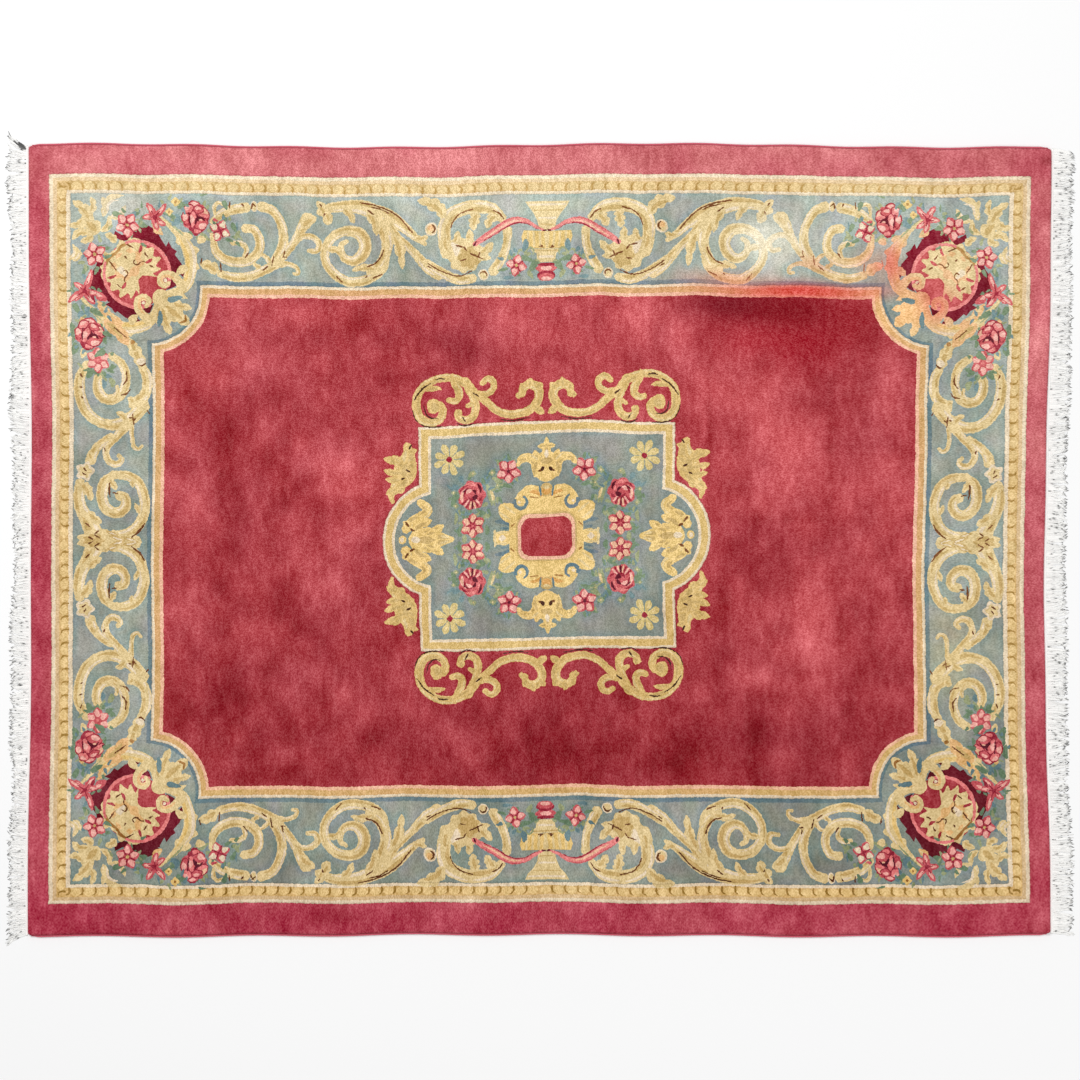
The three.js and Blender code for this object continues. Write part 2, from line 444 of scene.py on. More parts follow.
        for wool, points, widths in folds:
            line = turned(np.array(points) * size, math.radians(turn)) + centre
            self.paint(wool, ribbon(smooth_line(line), widths))

    def blossom(self, centre, radius, petals=5, turn=0.0, wools=("rose", "blush", "crimson", "gold")):
        """An open flower: round petals, light in their middles, parted by dark lines."""
        centre = np.asarray(centre, float)
        body, light, dark, heart = wools
        angles = [turn + 360 * index / petals for index in range(petals)]
        for number, angle in enumerate(angles):
            way = turned((1.0, 0.0), math.radians(angle))
            reach = radius * (0.56, 0.62, 0.52)[number % 3]
            self.paint(body, oval(centre + reach * way, 0.48 * radius, 0.40 * radius, angle, 0.06, 4))
        for number, angle in enumerate(angles):
            way = turned((1.0, 0.0), math.radians(angle + 8))
            spot = centre + 0.62 * radius * way
            self.paint(light, oval(spot, 0.33 * radius, 0.27 * radius, angle, 0.16, 3))
            edge = turned((1.0, 0.0), math.radians(angle + 180 / petals))
            self.paint(dark, ribbon(straight(centre, centre + 0.74 * radius * edge, 1.2), (1.9, 1.2)))
        self.paint(heart, oval(centre, 0.15 * radius, 0.15 * radius))

    def star_blossom(self, centre, tips, width):
        """A flower of narrow petals, each reaching to its own tip."""
        centre = np.asarray(centre, float)
        for tip in np.asarray(tips, float):
            way = tip - centre
            self.paint("rose", leaf_outline(centre, tip, width, 2, 0.05, 0.2))
            inner = centre + 0.3 * way, centre + 0.85 * way
            self.paint("blush", leaf_outline(*inner, width * 0.4, 1, 0.05, 0.0))
            self.paint("crimson", ribbon(straight(centre, centre + 0.45 * way, 1.2), (1.6, 1.0)))
        self.paint("crimson", oval(centre, 0.36 * width, 0.3 * width))

    def small_flower(self, centre, radius, wools=("butter", "ochre")):
        """A small round flower with a dark eye."""
        self.paint(wools[0], oval(centre, radius, radius, 0, 0.18, 4))
        self.paint(wools[1], oval(centre, radius * 0.35, radius * 0.35))


def mirrored_over_diagonal(points):
    """The image of points of the corner motif over its diagonal."""
    points = np.asarray(points, float)
    return np.column_stack([points[:, 1] - DIAGONAL, points[:, 0] + DIAGONAL])


BRIGHT = ("bright_gold", "gold", "straw")  # body, deeper and lighter wool of the medallion's gold


def draw_border_of_long_side(cartoon):
    """Three scrolls, from the corner to the urn that stands on the middle line."""
    cartoon.bands((
        ((5, 8, 9, 9), 1, ((214, 223), (223, 215), (236, 209.5), (248, 207))),
        ((9, 8, 8, 9, 8), 1, (
            (263, 206), (273.9, 210.6), (281.5, 221.5), (284.7, 233.4), (283.6, 246.4), (276, 260.5))),
        ((9, 8, 8, 7), -1, ((280, 262), (265, 270), (252, 275.2), (236, 276.8), (222, 273.5))),
        ((5, 8, 9, 9, 8, 8), -1, (
            (214.4, 236), (216.4, 248.6), (221.8, 256.2), (230.5, 260.5), (241.3, 261.6), (252.2, 258.4),
            (260.3, 249.7), (261, 238.8), (256, 230), (247, 228))),
        ((4, 5, 3), 1, ((233.8, 243), (242.4, 243), (247.9, 248.6), (245.7, 255))),
        ((3, 4, 2.5), 1, ((216.4, 215), (216.5, 207), (220.5, 203.5), (225, 205))),
        ((5, 4, 3), 1, ((272, 262), (267, 256), (262.5, 254))),
        ((6, 4, 4, 3), -1, ((282, 264), (290, 264), (298, 267.5), (299.5, 273), (295, 273.5))),
        ((6, 7, 8, 12), 1, ((284, 258), (290, 250), (297, 239), (303.2, 227), (309, 218))),
        ((5, 5, 6, 4), -1, (
            (297, 241), (304.3, 235.6), (314, 236.6), (320.6, 243), (317.3, 250), (309.7, 249.7))),
        ((7, 10, 13, 14, 9, 4), -1, (
            (321, 211), (330, 206.5), (344, 204.5), (360, 205), (374, 209.5), (390, 216), (405.4, 226.5),
            (416, 235.5), (426, 242))),
        ((13, 12, 10, 9, 10), 1, (
            (376, 212), (383, 224), (388, 238), (387.5, 250), (381, 263), (372, 270))),
        ((4, 8, 9, 9, 8, 8, 9, 11, 11, 7, 4), -1, (
            (389, 258), (384.6, 268), (374.7, 275.4), (359.8, 279.5), (347, 279), (335.5, 272),
            (328, 262), (326, 251.4), (329.5, 240.5), (338, 232), (349.8, 228.5), (361.4, 232),
            (366.5, 242), (364, 252), (356, 258.5), (347.5, 257), (342.5, 250), (343, 242.5), (348, 239))),
        ((10, 7, 7, 9, 11), -1, (
            (388, 222), (396, 233), (405.4, 242.5), (415.3, 251.4), (423, 260), (430, 267), (440, 273))),
        ((11, 12, 12, 12, 8), 1, (
            (448.5, 252), (446, 240), (445.5, 225), (452, 213.5), (465, 207.5), (480, 206.5),
            (493, 209.5), (502.5, 219))),
        ((8, 8, 9, 8), -1, ((428, 262), (438, 268.5), (450.7, 275.6), (463, 279.5), (474, 278.5))),
        ((8, 7, 8, 9), 1, ((508.5, 231), (507.5, 244.8), (503, 257), (494.7, 271))),
    ))
    cartoon.leaves((
        ((220, 273), (202, 264), 13, 2, 0.10), ((262, 268), (254, 262), 6, 2, 0.0),
        ((303, 227), (317, 216), 13, 2, -0.1), ((330, 223), (318, 200), 13, 3, 0.1),
        ((326, 210), (332, 222), 9, 2, 0.0), ((344, 206), (355, 221), 9, 2, -0.1),
        ((368, 210), (378, 234), 11, 2, -0.12), ((328, 247), (346, 255), 8, 2, -0.15),
        ((394, 231), (404, 268), 11, 3, -0.06), ((378, 268), (353, 268), 9, 3, 0.1),
        ((415, 237), (429, 235), 8, 2, 0.1), ((447, 215), (419, 199), 15, 3, 0.14),
        ((449, 251), (446, 230), 10, 3, -0.1), ((452, 246), (460, 229), 9, 2, 0.1),
        ((466, 247), (471, 228), 10, 2, 0.1), ((478, 212), (474, 229), 12, 3, 0.05),
        ((497, 215), (487, 228), 11, 2, 0.1), ((470, 258), (494, 243), 13, 3, 0.1),
        ((468, 262), (492, 258), 10, 2, -0.1),
    ))
    # The leafy heart that fills the third scroll
    cartoon.ovals((
        ("straw", (466, 254), 17, 18, -25, 0.07, 9), ("gold", (470, 257), 10, 11, -25, 0.12, 7),
        ("cream", (457, 247), 3.5, 7, -20, 0.2, 3),
    ))
    # Closed buds and rings: middle, half sizes and turn
    for centre, across, tall, turn in (
        ((256, 206), 3.4, 5.6, 0), ((432, 227.5), 6.2, 7.0, 30), ((484.7, 274.6), 5.2, 5.4, 0),
    ):
        cartoon.paint("cream", oval(centre, across, tall, turn))
        cartoon.paint("straw", oval(centre, across * 0.75, tall * 0.8, turn))
    cartoon.veins((((253.5, 208), (254.5, 203)), ((254.5, 203), (258, 206))))
    cartoon.paint("peach", oval((431.5, 226), 3.2, 3.6, 30))
    cartoon.paint("brown", ribbon(arc((431.5, 227), (4.2, 4.0), (-70, 70)), (1.2, 2.6, 1.2)))
    cartoon.paint("brown", ribbon(arc((484.7, 275), (3.6, 3.2), (-150, 20)), (1.0, 2.0, 1.0)))
    # Brown lines that part the leaves
    cartoon.strokes("brown", (1.0, 1.2, 1.0), (
        (1.4, ((361, 201), (376, 204), (390, 209.5), (402, 218), (413, 231))),
        (1.2, ((372, 205.5), (381, 207.5), (390, 212))),
        (1.4, ((368, 265), (376, 262), (382, 255.5), (384.5, 249))), (1.3, ((374, 277), (383, 273.5))),
        (1.2, ((337.5, 274), (343, 280.5))), (1.2, ((452, 226), (454, 220), (461, 212.5), (474, 208.5))),
        (1.2, ((494, 211), (500, 214), (504, 219.5))),
        (1.2, ((429, 262), (442, 270), (455, 274.5), (464, 274.6), (473, 271))),
    ))
    cartoon.veins((
        ((369, 208.5), (375, 213)), ((221.5, 263), (222.5, 271.5)), ((203.5, 260), (202.5, 265)),
        ((232, 202), (231.5, 208)), ((244, 203.5), (245.5, 206)), ((275, 256), (273, 265)),
        ((286, 251), (285, 256)), ((284, 257), (288, 257)), ((246.5, 257), (250, 252)),
        ((269, 266), (264, 270)), ((321, 203), (322.5, 205.5)), ((326, 212), (325, 214.5)),
        ((366, 275.5), (367.5, 274)), ((429, 265), (433, 267)), ((457, 244), (465, 246)),
        ((465, 246), (467.5, 250)), ((471.5, 253), (484, 259)), ((479, 257.5), (481, 252)),
        ((462, 259.5), (467, 258.5)),
    ))
    draw_urn(cartoon)
    cartoon.foliage((197, 220), (22, 24), 16)
    cartoon.foliage((229, 232), (16, 14), 9)
    cartoon.cabbage_rose((197, 219.5), 13.5, 16.5)
    cartoon.leaflets((
        ((184, 207), 6, 2.4, -30, "green"), ((206, 238), 6, 2.6, 30, "sage"),
        ((190, 237), 5, 2.4, 140, "green"), ((227, 205), 5, 2.6, 70, "green"),
        ((203, 241), 4.5, 4, 0, "straw"), ((188, 205), 4, 2.2, 60, "teal"),
    ))
    cartoon.blossom((221.8, 231), 10.5, 4, 20, ("rose", "cream", "crimson", "crimson"))
    cartoon.leaflets((
        ((236, 227), 5, 2.4, 60, "green"), ((239, 235), 5, 2.2, -60, "sage"),
        ((231, 240), 4, 2, 20, "green"), ((217, 221), 3, 1.6, 10, "rose"),
    ))


def draw_urn(cartoon):
    """Half of the urn, with the ribbon drawn over it and the flowers under it."""
    # Its left edges, closed over the middle line: bowl, collar and foot
    middle = BORDER_MIDDLE[0] + 7.5
    for wool, edge in (
        ("straw", ((526, 202.2), (529, 208), (534, 214), (538, 221), (540, 231.5))),
        ("butter", ((523.5, 232), (521.6, 238), (523, 244), (528.5, 249))),
        ("straw", ((531.5, 249), (533.5, 252), (537.5, 254), (538.5, 262.5))),
    ):
        cartoon.paint(wool, (*edge, (middle, edge[-1][1]), (middle, edge[0][1])))
    # Mouldings: left end, upper and lower row
    for column, upper, lower, wool in (
        (529.0, 204.4, 206.2, "cream"), (533.5, 210.4, 211.8, "gold"), (538.5, 218.0, 220.0, "cream"),
        (540.5, 225.0, 226.4, "gold"), (534.5, 250.6, 252.0, "gold"), (539.5, 256.0, 258.0, "cream"),
    ):
        cartoon.paint(wool, ((column, upper), (middle, upper), (middle, lower), (column + 0.8, lower)))
    for column in (528, 534, 540, 546):
        cartoon.paint("straw", ribbon(straight((column, 233.6), (column + 1.0, 247.0)), (2.6, 2.2)))
    cartoon.veins((((540, 247.5), (545, 248)), ((541.5, 246), (543, 247))))
    ribbon_line = smooth_line((
        (475.5, 243.5), (484, 238), (496, 231.5), (507, 224.5), (517, 221.5), (528, 223), (537, 228),
        (544, 231),
    ))
    widths = (5, 7, 7.5, 7, 4, 2)
    cartoon.paint("blush_pink", ribbon(ribbon_line, widths))
    cartoon.paint("blush_cream", ribbon(ribbon_line, widths, -0.1, 0.22, (0.12, 0.72), False))
    cartoon.paint("rose", ribbon(ribbon_line, widths, -0.5, -0.3, (0.05, 0.8), False))
    cartoon.paint("crimson", ribbon(ribbon_line, (5, 7, 7.5, 7, 5, 4), 0.32, 0.5, (0.1, 0.98), False))
    cartoon.veins((((475, 245), (477, 241)), ((544, 231.5), (547, 230.5))), 1.6, "wine")
    for centre, radius, start, end in (((522, 254), 4, 100, 380), ((531, 252.5), 4.5, 150, 400)):
        cartoon.paint("sage", ribbon(arc(centre, (radius, radius * 0.8), (start, end)), (1.6, 2.2, 1.4)))
    cartoon.leaflets((
        ((527, 259), 7, 2.6, 15, "green"), ((516, 251), 3, 2, 40, "teal"),
        ((534, 266), 3.4, 5.6, 20, "green"), ((531, 274), 4.5, 2.4, 60, "sage"),
        ((526, 246), 3, 6, 10, "teal"), ((509, 278), 5, 1.8, 0, "teal"),
    ))
    cartoon.foliage((521, 264), (20, 14), 14)
    cartoon.blossom((517, 265.5), 10, 4, 10)
    cartoon.ovals((
        ("rose", (middle, 268.5), 8.5, 5.0, 0, 0.1, 5), ("crimson", (middle, 264.8), 7.5, 1.6, 0),
        ("blush", (middle, 268.6), 4.0, 2.0, 0), ("crimson", (middle, 275.6), 7.6, 4.6, 0),
        ("rose", (middle, 277.2), 6.4, 3.8, 0), ("blush", (middle, 278.6), 3.4, 1.8, 0),
    ))


def draw_corner(cartoon):
    """The corner cartouche, drawn over its diagonal, and the flowers round it."""
    middle = (139.0, 275.0)
    # Two sprays in the outer corner
    cartoon.leaves((
        ((101, 236), (86, 216), 20, 2, -0.05), ((94, 224), (76, 203), 12, 3, 0.1),
        ((94, 216), (94, 199), 8, 2, 0.12), ((86, 222), (72, 227), 9, 2, -0.2),
        ((92, 235), (75, 241), 10, 2, 0.2), ((96, 238), (84, 244), 9, 2, -0.1),
        ((104, 234), (112, 218), 8, 2, 0.2),
    ))
    cartoon.leaves((
        ((106, 219), (105, 199), 8, 2, 0.1), ((108, 218), (126, 197), 9, 2, -0.3),
        ((112, 220), (128, 207), 8, 2, 0.2), ((72, 262), (76, 246), 8, 2, 0.3),
        ((76, 263), (84, 252), 6, 2, 0.1),
    ), ("straw", "cream"))
    # Wine-red crescents round the rose-red disc, with hooked lower ends
    crescent = np.vstack([(
        (116.5, 238), (118, 232.5), (125, 236.5), (133, 234), (141, 228.5), (151, 227), (158, 231),
        (163, 239.5), (168, 247.5), (170, 242.5), (174, 249), (179, 252.5), (177, 255.5), (183, 263),
        (186.5, 271), (186.8, 280), (183.5, 276), (180.5, 272.8), (177, 275.5), (178, 280), (181, 283),
        (176, 287.5), (169, 290.5),
    ), arc(middle, (33.7, 34.2), (22, -112))])
    cartoon.both("wine_ground", crescent)
    cartoon.paint("rose_ground", oval(middle, 32.8, 32.8))
    for turn, reach in ((-45, 33), (-70, 34.5), (-20, 34.5), (0, 36), (-90, 36)):
        way = turned((-1.0, 0.0), math.radians(turn + 90))
        cartoon.paint("straw", oval(np.array(middle) + way * (reach - 8), 9, 7.5, turn, 0.1, 3))
    # The gold shell inside it: reach of its edge at angles off the diagonal
    shell = (
        (0, 11), (18, 13), (30, 26), (36, 21), (48, 29), (56, 24), (68, 31), (78, 25), (90, 31.5),
        (101, 26), (113, 31), (124, 27), (136, 32), (147, 28), (158, 31), (180, 25),
    )
    angles, sizes = np.array(shell, float).T
    angles = np.radians(np.concatenate([45 + angles, 45 - angles[-2:0:-1]]))
    reach = np.concatenate([sizes, sizes[-2:0:-1]])
    edge = np.column_stack([np.cos(angles), np.sin(angles)]) * reach[:, None] + (134.5, 270.5)
    cartoon.paint("straw", smooth_line(np.vstack([edge, edge[:1]]))[:-1])
    cartoon.ovals((
        ("peach", (130, 266), 17, 13, -45, 0.12, 8), ("straw", (128, 264), 12, 9, -45, 0.15, 6),
        ("cream", (124, 273), 6, 3, 50, 0.2, 3),
    ))
    heart = (
        (141, 281), (146, 278.5), (150, 281), (157, 277), (159, 284), (159, 297), (150, 297), (142, 292),
        (145, 286),
    )
    cartoon.paint("rose_ground", smooth_line((*heart, heart[0]))[:-1])
    frown = smooth_line(((137, 261), (135.5, 264), (139.5, 266), (143, 263), (147, 262.5)))
    cartoon.both("brown", ribbon(frown, (1.0, 1.6, 0.9)))
    cartoon.both("ochre", ribbon(smooth_line(((131, 244.5), (124, 248), (117, 257))), (2.2, 3.4, 1.6)))
    cartoon.veins((
        ((129, 246), (136, 249.5)), ((112, 263.5), (118, 272)), ((127, 258), (128.5, 260)),
        ((147, 254), (150, 258)), ((119, 286), (123, 289)), ((152, 266), (156, 268)),
    ))
    cartoon.both("rose_ground", oval((151, 262), 1.6, 4.2, 60, 0.1, 3))
    cartoon.both("rose_ground", oval((143, 250), 1.4, 4.6, 20, 0.1, 3))
    cartoon.both("blush_pink", ribbon(arc(middle, (32.4, 33.0), (-108, 22)), (2.6, 3.6, 3.4, 3.0)))
    # The gold frame that turns under the disc, with lobes on its outer side, and its ball
    for base, tip in (((178, 244), (194, 238)), ((186, 256), (201, 251)), ((187, 268), (201, 268))):
        cartoon.both("straw", leaf_outline(base, tip, 11, 1, -0.1, 0.0))
    frame = smooth_line((
        (163, 219), (173, 228), (184, 240), (192, 255), (192.5, 270), (188.5, 284), (180, 292),
        (168, 296),
    ))
    widths = (3, 5, 9, 13, 12, 11, 10, 8)
    for outline, wool in (
        (ribbon(frame, widths), "straw"), (ribbon(frame, widths, 0.1, 0.42, (0.2, 0.9), False), "butter"),
        (ribbon(frame, widths, -0.42, -0.16, (0.3, 0.8), False), "cream"),
        (ribbon(frame, (1.6, 2.2, 1.6), -1.6, -0.6, (0.02, 0.3), False), "sage"),
    ):
        cartoon.both(wool, outline)
    cartoon.both("straw", leaf_outline((190, 268), (179, 275), 8, 1, 0.1, 0.0))
    hook = smooth_line((
        (183, 285), (177, 278.5), (170, 275), (163.5, 276.5), (162, 282.5), (166, 286.5), (170.5, 284),
    ))
    cartoon.both("straw", ribbon(hook, (10, 8, 7.5, 7, 6.5, 6, 4)))
    cartoon.both("peach", ribbon(hook, (10, 8, 7.5, 7, 6.5, 6), -0.42, -0.05, (0.1, 0.85), False))
    cartoon.both("cream", oval((167.5, 281), 1.8, 1.7))
    cartoon.paint("straw", oval((163, 299), 9, 9, 45))
    # The leaf below it on the diagonal
    cartoon.leaves((
        ((162, 301), (189, 299), 8, 2, -0.15), ((163, 302), (193, 309), 11, 3, 0.0),
        ((164, 304), (190, 325), 17, 3, 0.0), ((163, 305), (172, 335), 12, 3, 0.05),
        ((161, 305), (161, 326), 7, 2, 0.1),
    ))
    cartoon.ovals((
        ("teal", (176, 299.5), 7.5, 2.8, -12, 0.1, 3), ("teal", (161.5, 319), 2.6, 8, 5, 0.1, 3),
    ))
    cartoon.stroke("ochre", ((181, 323), (186.5, 321), (186, 315.5)), (1.4, 3.0, 1.4))
    # An orange leaf beneath the frame and two half hidden ones beside it
    cartoon.leaf((106, 322), (130, 345), 16, 2, -0.06, ("peach", "gold"))
    cartoon.veins((((116, 329), (128, 338)),), 1.2)
    cartoon.leaf((99, 303), (125, 325), 9, 2, 0.08, ("peach", "straw"))
    cartoon.leaf((165, 236), (158, 219), 8, 2, -0.2, ("peach", "straw"))
    cartoon.leaf((119, 244), (108, 236), 9, 2, 0.1, ("straw", "gold"))
    cartoon.leaf((112, 256), (104, 262), 8, 2, 0.1, ("straw", "gold"))
    cartoon.leaflets((
        ((122, 217), 8, 2.6, 20, "green"), ((137, 216), 7, 3, -40, "teal"),
        ((145, 226), 5, 3, 20, "green"), ((172, 216), 6, 2.6, 50, "green"),
        ((178, 222), 4, 6, 20, "teal"), ((88, 272), 5, 2.6, 120, "green"), ((78, 310), 6, 3, 60, "green"),
        ((86, 318), 8, 3.4, 20, "teal"), ((98, 314), 7, 2.8, 30, "green"), ((74, 331), 3, 7, 0, "green"),
        ((110, 250), 3, 2, 0, "green"), ((105, 341), 5, 2.6, 70, "green"),
        ((101, 355), 6, 3, 150, "green"), ((76, 350), 3.4, 6, 10, "green"),
        ((84, 355), 3.2, 4.6, 0, "straw"), ((83, 322), 4, 2.2, 120, "peach"),
        ((146, 246), 3.4, 1.6, 30, "green"),
    ))
    for centre, reach in (
        ((130, 224), (20, 12)), ((97, 257), (13, 20)), ((158, 216), (18, 16)), ((86, 295), (16, 20)),
        ((90, 336), (22, 24)), ((100, 318), (16, 12)), ((176, 210), (10, 12)),
    ):
        cartoon.foliage(centre, reach, 10)
    cartoon.blossom((130, 226.5), 11.5, 5, 12)
    cartoon.blossom((97, 256.5), 11, 5, 40)
    cartoon.star_blossom((157, 218), ((149, 204), (168, 205), (145, 219), (168, 227), (160, 232)), 7)
    cartoon.star_blossom((87, 293), (
        (77, 284), (94, 272), (77, 303), (70, 304), (101, 295), (97, 306),
    ), 7)
    cartoon.leaflets((
        ((103, 299), 6, 4, 30, "rose"), ((101, 297), 3, 1.6, 30, "blush"),
        ((95, 300), 4, 1.6, 60, "crimson"),
    ))
    cartoon.small_flower((177.7, 203.5), 4.2)
    cartoon.small_flower((171.5, 213.5), 3.4)
    cartoon.cabbage_rose((90.6, 336), 14.5, 15.5, 12)
    cartoon.leaflets((((106, 337), 3, 1.4, 10, "wine"), ((108, 336), 5, 2.4, 20, "green")))


def draw_border_of_short_side(cartoon):
    """Two spirals, from the corner to the middle line."""
    scrolls = (
        ((7, 9, 9, 9, 11), 1, ((142, 366), (147, 377), (147, 389), (143, 398), (134, 405))),
        ((7, 10, 10, 9, 11, 12), 1, (
            (87, 366), (80.5, 379), (79.5, 393), (83, 407), (89.5, 417), (99, 424), (111, 426.5),
            (123, 424), (133, 417), (143, 406))),
        ((7, 8, 8, 9, 9, 7), -1, (
            (112, 357), (121.5, 364), (126, 375), (125.5, 386.5), (121, 396), (112.5, 401),
            (103.5, 399.5), (98.3, 392.6), (97, 383.5), (100, 375.5))),
        ((5, 4, 3), 1, ((112, 400), (117.5, 394), (117, 388))),
        ((5, 4, 4, 3), -1, ((131, 424), (131.5, 438), (133.3, 447), (138, 450), (141.6, 446.5))),
        ((9, 7, 7, 6, 6, 4), -1, (
            (126, 426), (117, 437), (108.5, 446), (105.4, 455), (109.4, 463.6), (116.5, 465),
            (121.5, 461), (118.5, 456.5))),
        ((7, 7, 8, 10), 1, ((111, 438), (100, 446), (93.5, 454), (90.5, 462))),
        ((8, 10, 11, 12, 15, 20), 1, (
            (80, 484), (79, 496), (81, 508), (85.5, 518), (92, 529), (97, 541.5))),
        ((7, 9, 9, 9.5, 10, 11), -1, (
            (113, 476), (127, 476.5), (138, 483), (144, 495.7), (145.5, 508), (142, 521), (135, 530),
            (125, 535.5), (113, 538))),
        ((6, 10, 10, 10, 9, 8), 1, (
            (114, 475), (105, 483.5), (102, 497), (105.5, 508), (113.5, 513.5), (121.5, 512.5),
            (126.5, 506), (125.5, 498.5), (119.5, 496.5))),
    )
    cartoon.bands(scrolls)
    cartoon.leaves((
        ((143, 367), (129, 338), 14, 3, 0.02), ((82, 380), (86, 366), 9, 2, 0.0),
        ((134, 404), (128, 399), 8, 2, 0.1), ((126, 422), (116, 414), 8, 2, 0.15),
        ((92, 461), (87, 455), 9, 2, 0.0), ((80, 484), (92, 502), 11, 3, -0.1),
        ((88, 514), (102, 524), 11, 2, 0.1), ((109, 480), (117, 491), 8, 3, 0.0),
        ((141, 514), (135.5, 503), 6, 1, 0.0), ((132, 480), (133, 488), 6, 1, 0.0),
        ((103, 541), (118, 532), 12, 2, 0.05), ((130, 536), (142, 541), 10, 2, 0.0),
    ))
    # The knot of leaves on the middle line
    cartoon.ovals((
        ("straw", (101, 541.5), 23, 11, 0, 0.08, 9), ("gold", (94, 541.5), 10, 6, 0, 0.15, 7),
        ("straw", (128, 541.5), 14, 6, 0, 0.08, 5),
    ))
    for base, tip, width in (
        ((126, 541.5), (110, 536.5), 5), ((140, 541.5), (122, 537), 4), ((119, 536), (106, 532), 4),
    ):
        cartoon.leaf(base, tip, width, 1, 0.0, ("gold", "cream"))
    cartoon.strokes("brown", (0.8, 1.6, 0.8), (
        (1.3, ((139, 364), (142.5, 366), (146, 363))), (1.4, ((126.5, 373), (127, 381), (123, 386.5))),
        (1.2, ((121, 396.5), (127, 395), (130, 391))), (1.5, ((146, 523), (141.5, 530), (133, 537))),
        (1.5, ((110, 484), (109.5, 491), (110.5, 498))),
    ))
    cartoon.veins((
        ((132.5, 415), (133.5, 425)), ((133, 421), (136, 419)), ((129, 419), (132, 418)),
        ((81, 375), (83, 379)), ((80, 388), (82.5, 388.5)), ((81, 398.5), (83, 399.5)),
        ((104, 450), (105, 453)), ((79, 471), (80, 475)), ((83, 469), (85, 472)), ((82, 478), (87, 476)),
        ((86, 524.5), (90, 528)), ((95, 536), (100, 539)), ((89, 538), (93, 540.5)),
        ((99, 532), (95, 535)), ((113, 494), (118, 494.5)), ((147, 411), (149, 414)),
    ))
    cartoon.ovals((("cream", (85, 473), 8.8, 8.8, 0, 0.16, 5), ("straw", (85, 473), 6.2, 6.0, 0, 0.2, 5)))
    cartoon.veins((((82, 474.5), (86, 477)), ((84, 470), (86, 473))))
    cartoon.leaf((137, 352), (131, 340), 11, 3, 0.0)
    cartoon.ovals((("cream", (141.5, 361.5), 4.5, 3.4, -20), ("ochre", (134, 342.5), 2.4, 2.2)))
    cartoon.leaflets((
        ((111, 370), 6, 2.4, -30, "green"), ((103, 377), 6, 2.2, 60, "sage"),
        ((96, 371), 5, 2.2, 100, "green"), ((108, 378), 4, 2, 10, "teal"), ((90, 375), 3, 5, 20, "green"),
        ((104, 386), 2.4, 4, 0, "teal"), ((112, 384), 3, 5, -20, "sage"),
    ))
    cartoon.foliage((99, 364), (20, 14), 12)
    cartoon.blossom((98.5, 362), 11.5, 6, 30, ("rose", "blush", "rose", "blush_pink"))


